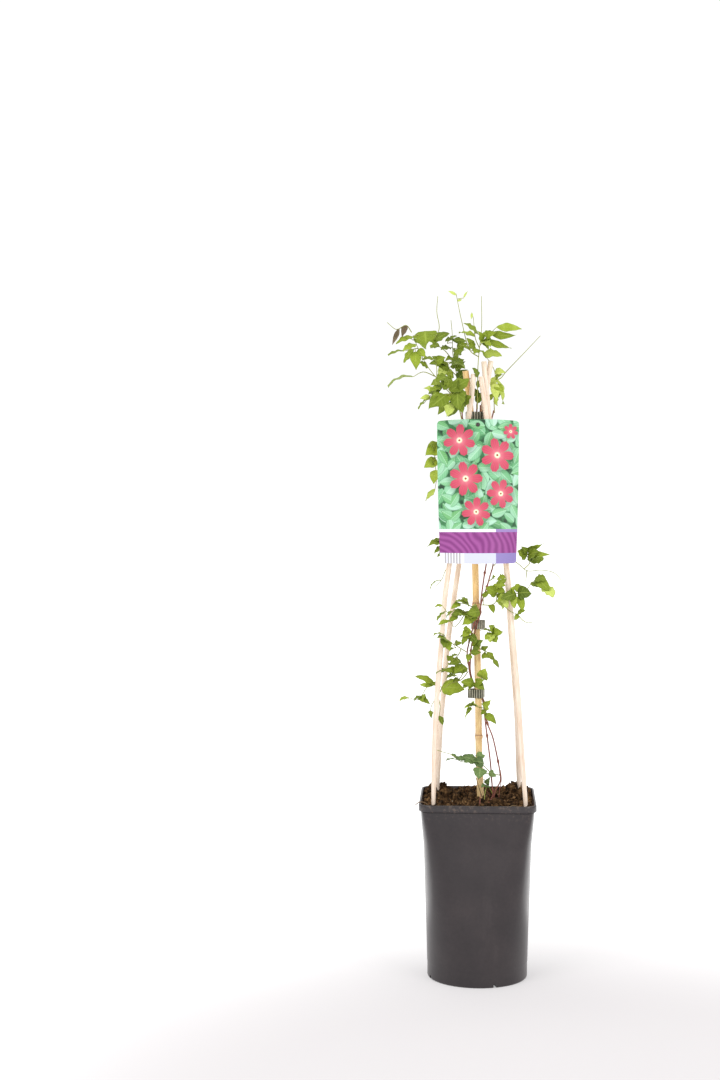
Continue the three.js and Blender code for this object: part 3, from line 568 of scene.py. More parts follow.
def makeSoilMesh():
    gap = soil["gap"]
    count = soil["points"]
    edge = lambda z: (lambda a: min(bodySection(z, a, pot["wall"] + gap),
                                    roundedSquare(pot["lip"] - pot["rim"] - 1, 10, a)))
    rings = [potRing(pot["floor"] + gap, lambda a: pot["footRadius"] - 7, count)]
    for z in (pot["floor"] + 12, 70, 130, 180, 198):
        rings.append(potRing(z, edge(z), count))
    for i in range(soil["rings"], 0, -1):
        share = i / soil["rings"]
        ring = potRing(0, lambda a: roundedSquare(pot["lip"] - pot["rim"] - 1.6, 12, a) * share, count)
        calm = ease(1 - share, 0, 0.04) * 0.7 + 0.3
        rings.append([Vector((p.x, p.y, soilHeight(p.x, p.y, calm))) for p in ring])
    mesh = outwards(newMesh("soil", *ringSkin(rings)))
    mesh.shade_smooth()
    return mesh


def peatMaterial(name, dark, middle, light):
    material, tree, shader = newMaterial(name, roughness=0.95, Specular_IOR_Level=0.1)
    spot = objectPlace(tree)
    tone, fine = uneven(spot, 160, 900)
    colour = ramp(tone, (0.4, dark), (0.5, middle), (0.62, light))
    fibres = grain(spot, 420, 6, 0.7, (1, 3, 1))
    colour = mixed(step(fibres, 0.62, 0.72), colour, (148, 104, 70))
    coat(shader, colour, fine, 0.9, 0.0012)
    return material


def makeScatterTree():
    tree, start, end = newShapeTree("scatterOnSoil", {
        "Bit": "Object", "Density": "Float", "Smallest": "Float", "Largest": "Float", "Flat": "Float",
        "Reach": "Float", "Seed": "Int"})
    upward = split(made(tree, "GeometryNodeInputNormal"))[2]
    spot = split(made(tree, "GeometryNodeInputPosition"))
    top = times(maths("GREATER_THAN", upward, soil["upward"]),
                maths("GREATER_THAN", spot[2], soil["lowest"] * mm))
    out = maths("MAXIMUM", maths("ABSOLUTE", spot[0]), maths("ABSOLUTE", spot[1]))
    top = times(top, maths("LESS_THAN", out, start["Reach"]))
    points = made(tree, "GeometryNodeDistributePointsOnFaces", {"Mesh": start["Geometry"],
                  "Selection": top, "Density": start["Density"], "Seed": start["Seed"]})
    turn = made(tree, "FunctionNodeRandomValue", {"Min": (-3, -3, -3), "Max": (3, 3, 3),
                "Seed": start["Seed"]}, data_type="FLOAT_VECTOR")
    size = addNode(tree, "FunctionNodeRandomValue", {"Seed": start["Seed"]}, data_type="FLOAT")
    link(start["Smallest"], size, 2)
    link(start["Largest"], size, 3)
    flat = made(tree, "ShaderNodeCombineXYZ", {"X": size.outputs[1], "Y": size.outputs[1],
                "Z": times(size.outputs[1], start["Flat"])})
    bit = addNode(tree, "GeometryNodeObjectInfo", {"Object": start["Bit"]})
    bits = made(tree, "GeometryNodeInstanceOnPoints", {"Points": points,
                "Instance": bit.outputs["Geometry"], "Rotation": turn, "Scale": flat})
    paint(tree, bits, start, end)
    return tree


def crumbObject(name, stretch, rough, seed):
    # a small uneven lump, 1 m across before it is scaled down
    bm = bmesh.new()
    bmesh.ops.create_icosphere(bm, subdivisions=2, radius=0.5)
    for v in bm.verts:
        v.co *= 1 + rough * noise.noise(v.co * 2.3 + Vector((seed, 0, 0)))
        v.co = Vector((v.co.x * stretch[0], v.co.y * stretch[1], v.co.z * stretch[2]))
    return bpy.data.objects.new(name, fromBmesh(bm, bpy.data.meshes.new(name)))


# loose bits on the soil: how many on a square metre, their sizes and how far out they lie, in metres
scatter = {
    "soilCrumbs": {"density": 80000, "small": 0.0010, "large": 0.0056, "flat": 0.8, "reach": 0.0625,
                   "stretch": (1, 0.8, 0.7), "rough": 0.95, "seed": 4,
                   "shades": ((26, 18, 11), (76, 54, 34), (142, 110, 74))},
    "soilClods": {"density": 5200, "small": 0.006, "large": 0.013, "flat": 0.75, "reach": 0.055,
                  "stretch": (1, 0.85, 0.7), "rough": 1.1, "seed": 6,
                  "shades": ((24, 17, 10), (66, 47, 29), (116, 88, 58))},
    "woodBits": {"density": 9000, "small": 0.0022, "large": 0.0075, "flat": 0.5, "reach": 0.061,
                 "stretch": (1, 0.22, 0.14), "rough": 0.5, "seed": 9,
                 "shades": ((86, 56, 36), (132, 92, 62), (172, 130, 96))},
    "paleSpecks": {"density": 1100, "small": 0.0008, "large": 0.0018, "flat": 0.8, "reach": 0.063,
                   "stretch": (1, 0.8, 0.7), "rough": 0.6, "seed": 15,
                   "shades": ((150, 128, 104), (190, 172, 148), (222, 212, 192))},
}

soilMesh = makeSoilMesh()
soilPiece = newPiece("soilBed", soilMesh, peatMaterial("peat", (24, 17, 10), (66, 47, 29), (128, 98, 66)),
                     ["soil"], turned=False)
scatterTree = makeScatterTree()
for name, settings in scatter.items():
    bit = crumbObject(name + "Bit", settings["stretch"], settings["rough"], settings["seed"])
    mesh = runTree(scatterTree, soilPiece, Bit=bit, Density=float(settings["density"]),
                   Smallest=settings["small"], Largest=settings["large"], Flat=settings["flat"],
                   Reach=settings["reach"], Seed=settings["seed"],
                   Material=peatMaterial(name, *settings["shades"]))
    bpy.data.objects.remove(bit)
    mesh.shade_smooth()
    newPiece(name, mesh, None, [], turned=False)
    print(name, len(mesh.polygons), "faces")
print("soil made")


# canes

canes = {
    "radius": 3.1, "sides": 28, "step": 5, "tipShare": 0.12, "tipRadius": 0.62,
    "routes": {
        "cane_front_left": [(-55, -48, 190), (-54, -45, 212), (-52, -38, 290), (-49, -33, 343),
                            (-45, -28, 390), (-40, -22, 450), (-35, -18.8, 487), (-12.3, -8, 659),
                            (-9.2, -6.6, 680), (-6.3, -5.2, 710)],
        "cane_back_left": [(-46.5, 47, 190), (-45.5, 45, 216), (-42, 38, 296), (-39, 35, 329), (-35, 28, 385),
                           (-27, 22, 447), (-22, 18, 484), (3.5, 6.6, 659), (7.2, 7, 680), (14.8, 7, 726)],
        "cane_front_right": [(54, -52, 190), (52.5, -50, 211), (49, -40, 263), (44, -33, 343), (40, -28, 390),
                             (36, -22, 442), (32, -18, 486), (8.6, -7.2, 659), (6.2, -6.6, 680),
                             (2.3, -5.4, 707)],
        "cane_back_right": [(55, 47, 190), (53, 45, 213), (50, 38, 290), (46, 32, 343), (41, 26, 400),
                            (34, 18, 486), (12.2, -0.3, 659), (10.2, 0, 680), (6, 1, 725)],
    },
}


def caneWood(name, light, middle, dark):
    material, tree, shader = newMaterial(name, roughness=0.62, Specular_IOR_Level=0.2)
    spot = ownPlace(tree, "barPlace")
    streak = grain(spot, 1.6, 6, 0.65, (1, 1, 26))
    fine = grain(spot, 7, 5, 0.6, (1, 1, 12))
    patch = grain(spot, 1, 3, 0.5, (0.4, 0.4, 30))
    colour = ramp(streak, (0.3, dark), (0.48, middle), (0.62, light))
    colour = tint(colour, step(patch, 0.5, 0.7), 0.35, dark)
    colour = tint(colour, step(fine, 0.6, 0.7), 0.4, (186, 140, 104))
    coat(shader, colour, plus(fine, streak), 0.35, 0.0004)
    return material


caneMaterial = caneWood("caneWood", (240, 224, 209), (233, 213, 194), (211, 180, 154))


def caneRadii(count, seed):
    radii = []
    for i in range(count):
        share = i / (count - 1)
        tip = min(1, share / canes["tipShare"])
        radius = canes["radius"] * blend(canes["tipRadius"], 1, tip)
        radii.append(radius * (1 + 0.025 * noise.noise(Vector((seed, share * 14, 0)))))
    radii[-1] *= 0.9
    radii[0] *= 0.6
    return radii


for number, (name, route) in enumerate(canes["routes"].items()):
    line = smoothPath(route, canes["step"])
    end = line[-1] + (line[-1] - line[-2]).normalized() * -0.5
    line[-1:] = [end, line[-1]]
    mesh = barsMesh(name, [(line, caneRadii(len(line), number * 7))], canes["sides"], caneMaterial)
    newPiece("wood_" + name, mesh, None, [name], sharp=40)


# bamboo cane

bamboo = {
    "radius": 4.1, "topRadius": 3.7, "sides": 36, "joints": (284, 440, 590), "swell": 1.0, "groove": 1.9,
    "route": [(4.2, 0, 190), (3.2, 0, 222), (1.6, 0, 263), (0.6, 0, 327), (-1, 0, 393), (-2.2, 0, 430),
              (-3.4, 0, 484), (-6, 0.3, 560), (-8, 0.6, 630), (-9, 1, 660), (-10.6, 1.6, 680),
              (-13, 1.2, 697), (-15.5, 0, 714)],
}


def bambooRadius(z):
    share = (z - bamboo["route"][0][2]) / (bamboo["route"][-1][2] - bamboo["route"][0][2])
    radius = blend(bamboo["radius"], bamboo["topRadius"], share)
    for joint in bamboo["joints"]:
        away = z - joint
        radius += bamboo["swell"] * math.exp(-(away / 2.2) ** 2)
        radius += 0.35 * math.exp(-((away - 3.4) / 1.0) ** 2)
        radius -= 0.28 * math.exp(-((away - bamboo["groove"]) / 0.5) ** 2)
    return radius


def bambooSkin():
    material, tree, shader = newMaterial("bambooSkin", roughness=0.42, Specular_IOR_Level=0.3)
    spot = ownPlace(tree, "barPlace")
    high = split(objectPlace(tree))[2]
    fibre = grain(spot, 2.4, 6, 0.7, (1, 1, 20))
    patch = grain(spot, 1.3, 3, 0.5, (0.5, 0.5, 24))
    low = ramp(fibre, (0.32, (208, 172, 116)), (0.5, (230, 198, 142)), (0.68, (242, 216, 168)))
    warm = ramp(fibre, (0.32, (214, 170, 108)), (0.5, (236, 196, 134)), (0.68, (246, 216, 162)))
    colour = mixed(step(high, 0.40, 0.47), low, warm)
    colour = tint(colour, step(patch, 0.5, 0.72), 0.55, (190, 140, 96))
    for joint in bamboo["joints"]:
        off = maths("ABSOLUTE", minus(high, (joint + bamboo["groove"]) * mm))
        line = minus(1.0, step(off, 0.0003, 0.0013))
        colour = tint(colour, line, 0.7, (112, 78, 58))
        halo = minus(1.0, step(off, 0.001, 0.012))
        colour = tint(colour, halo, 0.3, (176, 128, 98))
    coat(shader, colour, fibre, 0.25, 0.0004)
    return material


bambooLine = smoothPath(bamboo["route"], 1.2)
bambooRadii = [bambooRadius(p.z) for p in bambooLine]
bambooMesh = barsMesh("bamboo", [(bambooLine, bambooRadii)], bamboo["sides"], bambooSkin())
newPiece("bambooCane", bambooMesh, None, ["bamboo_cane"], sharp=40)
print("canes made")


# climbing stems

stems = {
    "radius": 0.85, "sides": 12, "step": 2, "jointSpace": 47, "jointSwell": 1.1,
    "routes": [
        [(18, -6, 192), (18, -5, 213), (17, -4, 225), (16, -4, 238), (15, -4, 251), (12, -4, 276),
         (9.5, -4, 295), (8, -3, 308), (7, 0, 321), (4.5, 4.5, 330), (-1, 6.4, 338), (-6.5, 3, 348),
         (-10, -3, 361), (-11.5, -5, 372), (-13, -5, 383), (-11.5, -6, 393), (-9, -7.5, 402),
         (-7, -9.6, 412), (-4, -10, 421), (0, -8.6, 430), (4, -6.5, 444), (7, -6, 452), (11, -6, 465),
         (14, -6, 476), (17, -6, 487), (15, -5.5, 520), (12, -5, 570), (6, -4, 620), (-1.8, -1, 655),
         (-2, -1, 676)],
        [(18, -5, 210), (21, -4.5, 221), (26.5, -4, 232), (26, -4, 242), (22, -4, 264), (17, -4, 285),
         (11.5, -4, 299), (9.5, -2.5, 308), (9, 1.5, 321), (5.5, 6, 330), (0, 7.6, 339), (-6, 5, 350),
         (-9, 0, 362), (-9, -3.5, 376), (-8, -6, 392), (-5, -8, 404), (-2.5, -9.6, 416), (2, -8.4, 430),
         (3, -6.5, 446), (5, -6.5, 462), (7, -6.5, 476), (9, -6.5, 488), (11, -6, 530), (13, -4, 580),
         (9, -2, 620), (2.4, -0.8, 655), (2, -1, 674)],
        [(12, -5, 570), (8, -6.5, 590), (-2, -7, 606), (-12, -4.8, 622), (-17, -2.5, 640),
         (-19, -2, 655), (-19.5, -3, 666)],
        [(13, -4, 580), (12.5, -2, 604), (11.5, 4, 620), (9, 10, 640), (15, 9, 655), (18.5, 8.5, 668)],
        [(9, 10, 640), (2, 13, 650), (-6.5, 12, 666)],
    ],
    # low shoots and roots' ends at the crown: route and radius
    "crown": [
        ([(-1, -49, 203), (-0.6, -47, 212), (0.6, -45, 224)], 0.75),
        ([(5, -44, 204), (10, -30, 209), (16, -12, 214), (19, -6, 222)], 0.9),
        ([(20, -6, 208), (18, -8, 216), (16.5, -7, 226), (15, -6, 240)], 0.7),
        ([(17, -8, 208), (14, -20, 210), (8, -32, 208), (4, -44, 206)], 0.8),
        ([(24, -8, 209), (25, -12, 222), (27, -14, 236), (26, -12, 246)], 0.6),
        ([(15, -6, 210), (12, -14, 219), (8, -22, 224)], 0.5),
    ],
    # dry twigs on the soil
    "dry": [
        ([(-57, -42, 207), (-63, -45, 213), (-70, -48, 215), (-75, -50, 212)], 0.9),
        ([(8, -6, 206), (4, -12, 216), (0, -16, 228), (-3, -18, 238)], 0.6),
        ([(-34, -52, 208), (-26, -54, 211), (-18, -53, 210)], 0.7),
        ([(30, -50, 208), (38, -54, 212), (46, -52, 210)], 0.6),
    ],
}


def stemRadii(line, radius, space):
    travelled, radii = 0, []
    for a, b in zip(line, [line[0], *line]):
        travelled += (a - b).length
        away = abs((travelled + space / 2) % space - space / 2)
        radii.append(radius * (1 + stems["jointSwell"] * math.exp(-(away / 1.5) ** 2)))
    return radii


def stemBark(name, dark, middle, light, patchShade):
    material, tree, shader = newMaterial(name, roughness=0.6, Specular_IOR_Level=0.2)
    spot = ownPlace(tree, "barPlace")
    streak = grain(spot, 2, 5, 0.6, (1, 1, 30))
    patch = grain(spot, 1, 2, 0.5, (0.3, 0.3, 26))
    colour = ramp(streak, (0.3, dark), (0.5, middle), (0.68, light))
    colour = tint(colour, step(patch, 0.52, 0.66), 0.6, patchShade)
    coat(shader, colour, streak, 0.4, 0.0003)
    return material


barkMaterial = stemBark("stemBark", (98, 52, 44), (140, 82, 70), (178, 126, 108), (112, 90, 56))
stemLines = [smoothPath(route, stems["step"]) for route in stems["routes"]]
stemBars = [(line, stemRadii(line, stems["radius"], stems["jointSpace"])) for line in stemLines]


def shortBars(routes):
    bars = []
    for route, radius in routes:
        line = smoothPath(route, 2)
        bars.append((line, [radius * blend(1, 0.5, i / len(line)) for i in range(len(line))]))
    return bars


stemMesh = barsMesh("stems", stemBars + shortBars(stems["crown"]), stems["sides"], barkMaterial)
newPiece("climbingStems", stemMesh, None, ["stems"], sharp=50)
dryMaterial = stemBark("dryBark", (72, 54, 40), (112, 90, 66), (154, 130, 98), (128, 118, 74))
twigMesh = barsMesh("dryTwigs", shortBars(stems["dry"]), stems["sides"], dryMaterial)
newPiece("dryTwigs", twigMesh, None, [], sharp=50)
print("stems made")


# ribbed ties

ties = {
    "height": 10.5, "thick": 1.0, "clear": 0.75, "ribs": 19, "ribRadius": 0.85, "edge": 0.4, "points": 180,
    "at": {"tie_lower": 335, "tie_upper": 416.5, "tie_top": 661},
    # stalks that a tie goes round besides the bamboo: x, y and radius
    "stalks": {"tie_lower": (-8, 1, 2), "tie_upper": (4.5, 0, 2)},
}


def sectionAt(route, z):
    line = smoothPath(route, 2)
    return min(line, key=lambda p: abs(p.z - z))


def tieRounds(name, z):
    def through(route, radius):
        spots = [sectionAt(route, z + share * ties["height"]) for share in (-0.55, 0, 0.55)]
        return [(p.x, p.y, radius) for p in spots]
    top = name == "tie_top"
    rounds = through(bamboo["route"], bamboo["topRadius"] if top else bamboo["radius"])
    if name != "tie_upper":
        rounds += [spot for route in stems["routes"][:2] for spot in through(route, stems["radius"])]
    if top:
        return rounds + through(canes["routes"]["cane_back_left"], canes["radius"])
    return rounds + [ties["stalks"][name]]


def tieOutline(rounds, offset):
    places = []
    for turn in circleTurns(ties["points"]):
        way = Vector((math.cos(turn), math.sin(turn)))
        x, y, radius = max(rounds, key=lambda r: r[0] * way.x + r[1] * way.y + r[2])
        places.append(Vector((x, y)) + way * (radius + offset))
    return places


def makeTieTree():
    tree, start, end = newShapeTree("ribbedTie", {
        "Height": "Float", "Thick": "Float", "Ribs": "Int", "Thickest": "Float"})
    loop = made(tree, "GeometryNodeMeshToCurve", {"Mesh": start["Geometry"]})
    even = made(tree, "GeometryNodeResampleCurve", {"Curve": loop, "Count": 144})
    band = addNode(tree, "GeometryNodeCurvePrimitiveQuadrilateral")
    link(start["Thick"], band, 0)
    link(start["Height"], band, 1)
    rounded = made(tree, "GeometryNodeFilletCurve", {"Curve": band.outputs[0], "Count": 3,
                   "Radius": ties["edge"] * mm}, mode="POLY")
    skin = made(tree, "GeometryNodeCurveToMesh", {"Curve": even, "Profile Curve": rounded})
    spots = made(tree, "GeometryNodeResampleCurve", {"Curve": loop, "Count": start["Ribs"]})
    dots = made(tree, "GeometryNodeCurveToPoints", {"Curve": spots}, mode="EVALUATED")
    rib = made(tree, "GeometryNodeMeshCylinder", {"Vertices": 10, "Radius": start["Thickest"],
               "Depth": times(start["Height"], 0.96)})
    ribs = made(tree, "GeometryNodeInstanceOnPoints", {"Points": dots, "Instance": rib})
    single = made(tree, "GeometryNodeRealizeInstances", {"Geometry": ribs})
    raised = made(tree, "GeometryNodeStoreNamedAttribute", {"Geometry": single, "Name": "raised",
                  "Value": 1.0}, data_type="FLOAT", domain="POINT")
    both = addNode(tree, "GeometryNodeJoinGeometry")
    link(skin, both, 0)
    link(raised, both, 0)
    paint(tree, both.outputs[0], start, end)
    return tree


def tiePlastic():
    material, tree, shader = newMaterial("tiePlastic", roughness=0.5, Specular_IOR_Level=0.25)
    spot = objectPlace(tree)
    tone, fine = uneven(spot, 130, 700)
    colour = ramp(tone, (0.32, (122, 120, 104)), (0.5, (162, 158, 140)), (0.68, (190, 184, 168)))
    # the band between the raised ribs is painted dark: painted shade for the hollows between the ribs
    paintedValleyShade = minus(1.0, ownValue(tree, "raised"))
    colour = mixed(paintedValleyShade, colour, (62, 62, 48))
    coat(shader, colour, fine, 0.3, 0.0003)
    return material


tieTree = makeTieTree()
tieMaterial = tiePlastic()
for name, z in ties["at"].items():
    outline = tieOutline(tieRounds(name, z), ties["clear"] + ties["thick"] / 2)
    mesh = bpy.data.meshes.new(name)
    mesh.from_pydata([(p.x * mm, p.y * mm, z * mm) for p in outline],
                     [(j, (j + 1) % len(outline)) for j in range(len(outline))], [])
    loop = linked(name + "Loop", mesh)
    band = runTree(tieTree, loop, Height=ties["height"] * mm, Thick=ties["thick"] * mm, Ribs=ties["ribs"],
                   Thickest=ties["ribRadius"] * mm, Material=tieMaterial)
    bpy.data.objects.remove(loop)
    newPiece("ribbed_" + name, outwards(band), None, [name], sharp=45)
print("ties made")


# picture label

label = {
    "width": 96, "top": 655, "bottom": 490, "thick": 0.7, "corner": 4, "crown": 2.3, "centre": -1.5,
    "edge": (-22.5, -13.4), "arc": (0.72, 0.16), "hole": (-2, 650.8, 1.9),
    "columns": 72, "rows": 96, "cutLong": 30, "cutAt": -14,
}


def cornerInset(fromEnd):
    short = max(0, label["corner"] - fromEnd)
    return label["corner"] - math.sqrt(label["corner"] ** 2 - short**2)


def labelPoint(along, share):
    angle = blend(*label["arc"], share)
    radius = label["width"] / 2 / angle
    turn = along / radius
    crown = label["crown"] * share * (1 - (2 * along / label["width"]) ** 2)
    z = blend(label["bottom"], label["top"], share) + crown
    forward = (math.cos(turn) - math.cos(angle)) * radius
    spot = Vector((math.sin(turn) * radius + label["centre"], blend(*label["edge"], share) - forward, z))
    return spot, Vector((math.sin(turn), -math.cos(turn), 0))


def makeLabelMesh():
    tall = label["top"] - label["bottom"]
    ends = [i / 8 * label["corner"] / tall for i in range(9)]
    shares = ends + [blend(ends[-1], 1 - ends[-1], i / label["rows"]) for i in range(1, label["rows"])]
    shares += [1 - e for e in reversed(ends)]
    columns = label["columns"]
    front, back, prints = [], [], []
    for share in shares:
        inset = cornerInset(min(share, 1 - share) * tall)
        for j in range(columns + 1):
            across = (j / columns * 2 - 1) * (label["width"] / 2 - inset)
            spot, normal = labelPoint(across, share)
            front.append(spot + normal * label["thick"] / 2)
            back.append(spot - normal * label["thick"] / 2)
            prints.append((across / label["width"] + 0.5, share))
    mesh = newMesh("label", front + back, sheetFaces(len(shares) - 1, columns))
    layer = mesh.uv_layers.new(name="printPlace")
    for corner in mesh.loops:
        layer.data[corner.index].uv = prints[corner.vertex_index % len(prints)]
    return mesh


def makeHole():
    # a round bar through the card where its hole is
    x, z, radius = [size * mm for size in label["hole"]]
    bar = bmesh.new()
    bmesh.ops.create_cone(bar, cap_ends=True, segments=40, radius1=radius, radius2=radius,
                          depth=label["cutLong"] * mm)
    for v in bar.verts:
        v.co = Vector((v.co.x + x, v.co.z + label["cutAt"] * mm, v.co.y + z))
    return fromBmesh(bar, bpy.data.meshes.new("hole"))


# the printed design: rounded blossoms on a leafy ground over a plain band and boxes
design = {
    "blossoms": [  # x, z, radius, turn, number of petals
        (26, 141, 19, 0.3, 7), (70, 124, 20, 0.9, 7), (33, 97, 20, 0.0, 7), (74, 80, 17, 0.5, 7),
        (45, 59, 17, 1.2, 7), (86, 152, 9, 0.2, 7),
    ],
    "leaves": [  # size in mm, shift, shades
        (15, 0.0, ((78, 138, 88), (104, 166, 110), (130, 190, 144), (158, 206, 174))),
        (20, 7.3, ((84, 150, 98), (112, 178, 126), (140, 196, 156), (172, 214, 190))),
        (17, 15.9, ((96, 158, 88), (116, 180, 122), (148, 200, 162), (180, 216, 198))),
    ],
    "pictureBottom": 39.5, "bandTop": 36, "bandBottom": 12,
    "petal": ((196, 76, 98), (208, 92, 112), (222, 132, 144)),
}


def makeBlossomGroup():
    group, start, end = newShaderGroup("blossom", ("X", "Z", "Radius", "Turn", "Petals"),
                                       ("Petal", "Centre", "Out", "Vein"))
    spot = split(start["Place"])
    x = minus(spot[0], start["X"])
    z = minus(spot[1], start["Z"])
    away = maths("SQRT", plus(times(x, x), times(z, z)))
    out = maths("DIVIDE", away, start["Radius"])
    angle = plus(maths("ARCTAN2", z, x), start["Turn"])
    wave = maths("COSINE", times(angle, times(start["Petals"], 0.5)))
    lobe = maths("POWER", maths("ABSOLUTE", wave), 0.42)
    reach = maths("MULTIPLY_ADD", lobe, 0.72, 0.28)
    frill = times(maths("SINE", times(angle, 31.0)), 0.018)
    margin = minus(plus(reach, frill), out)
    link(step(margin, 0.0, 0.04), end, "Petal")
    ray = maths("MULTIPLY_ADD", maths("COSINE", times(angle, 21.0)), 0.035, 0.16)
    link(step(minus(ray, out), -0.03, 0.03), end, "Centre")
    link(out, end, "Out")
    fold = times(maths("ABSOLUTE", maths("SINE", times(angle, 17.5))), lobe)
    link(fold, end, "Vein")
    return group


def makePrintLeafGroup():
    group, start, end = newShaderGroup("printedLeaves", ("Size", "Shift"), ("Leaf", "Tone", "Rib", "Edge"))
    scaled = addNode(group, "ShaderNodeVectorMath", {0: start["Place"]}, operation="SCALE")
    link(maths("DIVIDE", 1.0, start["Size"]), scaled, "Scale")
    shift = made(group, "ShaderNodeCombineXYZ", {"X": start["Shift"], "Y": start["Shift"]})
    moved = made(group, "ShaderNodeVectorMath", {0: scaled.outputs[0], 1: shift}, operation="ADD")
    cell = addNode(group, "ShaderNodeTexVoronoi", {"Vector": moved, "Scale": 1.0, "Randomness": 0.75},
                   voronoi_dimensions="2D")
    local = made(group, "ShaderNodeVectorMath", {0: moved, 1: cell.outputs["Position"]}, operation="SUBTRACT")
    pick = addNode(group, "ShaderNodeSeparateColor", {0: cell.outputs["Color"]})
    turned = made(group, "ShaderNodeVectorRotate", {"Vector": local,
                  "Angle": times(pick.outputs[0], 6.283)}, rotation_type="Z_AXIS")
    spot = split(turned)
    across = maths("ABSOLUTE", spot[0])
    along = maths("DIVIDE", plus(spot[1], 0.62), 1.24)
    bow = times(maths("POWER", along, 0.75), minus(1.0, along))
    reach = minus(times(bow, 1.1), across)
    link(step(reach, 0.0, 0.02), end, "Leaf")
    half = maths("MULTIPLY_ADD", spot[0], 0.55, maths("MULTIPLY_ADD", pick.outputs[1], 0.7, 0.15))
    link(maths("MULTIPLY_ADD", maths("GREATER_THAN", spot[0], 0.0), 0.12, half), end, "Tone")
    rib = minus(1.0, step(across, 0.004, 0.03))
    ladder = maths("FRACT", times(minus(spot[1], across), 6.0))
    side = minus(1.0, step(maths("ABSOLUTE", minus(ladder, 0.5)), 0.02, 0.16))
    link(maths("MAXIMUM", rib, times(side, 0.4)), end, "Rib")
    link(minus(1.0, step(reach, 0.0, 0.09)), end, "Edge")
    return group


def labelPrint():
    material, tree, shader = newMaterial("labelPrint", roughness=0.38, Specular_IOR_Level=0.2)
    tall = label["top"] - label["bottom"]
    printed = made(tree, "ShaderNodeUVMap", uv_map="printPlace")
    spot = made(tree, "ShaderNodeMapping", {"Vector": printed, "Scale": (label["width"], tall, 1)})
    # the leafy ground: three layers of pointed leaves over a dark green
    dark = grain(spot, 0.09, 3, 0.5)
    green = mixed(step(dark, 0.4, 0.66), (70, 128, 84), (44, 66, 50))
    leafGroup = makePrintLeafGroup()
    for size, shift, shades in design["leaves"]:
        node = addNode(tree, "ShaderNodeGroup", {"Place": spot, "Size": size, "Shift": shift},
                       node_tree=leafGroup)
        leaf = ramp(node.outputs["Tone"], *[(i / 3, shade) for i, shade in enumerate(shades)])
        leaf = tint(leaf, node.outputs["Rib"], 0.45, (206, 236, 212))
        leaf = tint(leaf, node.outputs["Edge"], 0.6, (58, 112, 76))
        green = mixed(node.outputs["Leaf"], green, leaf)
    colour = green
    blossomGroup = makeBlossomGroup()
    for x, z, radius, turn, petals in design["blossoms"]:
        node = addNode(tree, "ShaderNodeGroup", {"Place": spot, "X": x, "Z": z, "Radius": radius,
                       "Turn": turn, "Petals": petals}, node_tree=blossomGroup)
        deep, middle, pale = design["petal"]
        petal = ramp(node.outputs["Out"], (0.15, pale), (0.45, middle), (0.95, deep))
        petal = tint(petal, node.outputs["Vein"], 0.3, (166, 54, 78))
        shade = step(node.outputs["Out"], 1.25, 0.8)
        colour = tint(colour, shade, 0.45, (42, 78, 52))
        colour = mixed(node.outputs["Petal"], colour, petal)
        colour = mixed(node.outputs["Centre"], colour, (250, 244, 206))
        colour = mixed(step(node.outputs["Out"], 0.085, 0.05), colour, (150, 84, 56))
    # the lower bands
    across, high, _ = split(spot)

    def box(low, top, left=-1.0, right=200.0):
        inside = times(maths("GREATER_THAN", high, low), maths("LESS_THAN", high, top))
        width = times(maths("GREATER_THAN", across, left), maths("LESS_THAN", across, right))
        return times(inside, width)

    colour = mixed(box(-1, design["pictureBottom"]), colour, (222, 223, 236))
    swirl = addNode(tree, "ShaderNodeTexWave", {"Vector": spot, "Scale": 0.045, "Distortion": 9.0,
                    "Detail": 1.0, "Detail Scale": 0.6}, wave_type="RINGS",
                    rings_direction="Z").outputs["Fac"]
    purple = mixed(swirl, (130, 60, 124), (158, 84, 150))
    colour = mixed(box(design["bandBottom"], design["bandTop"]), colour, purple)
    colour = mixed(box(design["bandTop"], design["pictureBottom"], 68), colour, (152, 128, 184))
    colour = mixed(box(-1, design["bandBottom"], 68), colour, (142, 128, 184))
    colour = mixed(box(-1, design["bandBottom"], 31, 68), colour, (202, 205, 226))
    bars = maths("LESS_THAN", maths("FRACT", times(across, 0.28)), 0.42)
    bars = times(bars, box(-1, design["bandBottom"], 6, 27))
    colour = mixed(bars, colour, (166, 162, 160))
    # the back of the card is plain white
    facing = split(addNode(tree, "ShaderNodeNewGeometry").outputs["Normal"])
    colour = mixed(step(facing[1], -0.2, 0.05), colour, (236, 238, 232))
    tone, fine = uneven(objectPlace(tree), 40, 900)
    link(maths("MULTIPLY_ADD", tone, 0.2, 0.28), shader, "Roughness")
    coat(shader, colour, fine, 0.06, 0.0002)
    return material


labelMesh = cutAway(makeLabelMesh(), [makeHole()])
newPiece("pictureLabel", labelMesh, labelPrint(), ["label"], sharp=35)


# the peg in the label's hole

peg = {
    "profile": [(0.7, -1.2), (1.4, -1.05), (2.0, -0.8), (2.35, -0.45), (2.4, -0.1), (2.3, 0.0),
                (1.5, 0.0), (1.35, 0.3), (1.35, 10.7), (1.1, 11.0)],
    "sides": 36, "clear": 0.6, "share": 0.975,
}


def pegMesh():
    x, z, _ = label["hole"]
    spot, _ = labelPoint(x - label["centre"], peg["share"])
    front = spot.y - label["thick"] / 2 - peg["clear"]
    rings = [[Vector((x + math.cos(t) * radius, front + along, z + math.sin(t) * radius))
              for t in circleTurns(peg["sides"])] for radius, along in peg["profile"]]
    return outwards(newMesh("peg", *ringSkin(rings)))


def pegPlastic():
    material, tree, shader = newMaterial("pegPlastic", roughness=0.45)
    tone, fine = uneven(objectPlace(tree), 200, 1200)
    colour = ramp(tone, (0.3, (34, 28, 30)), (0.7, (66, 54, 52)))
    coat(shader, colour, fine, 0.2, 0.0002)
    return material


pegShape = pegMesh()
newPiece("labelPeg", pegShape, pegPlastic(), ["label_pin"], sharp=45)
print("label made")


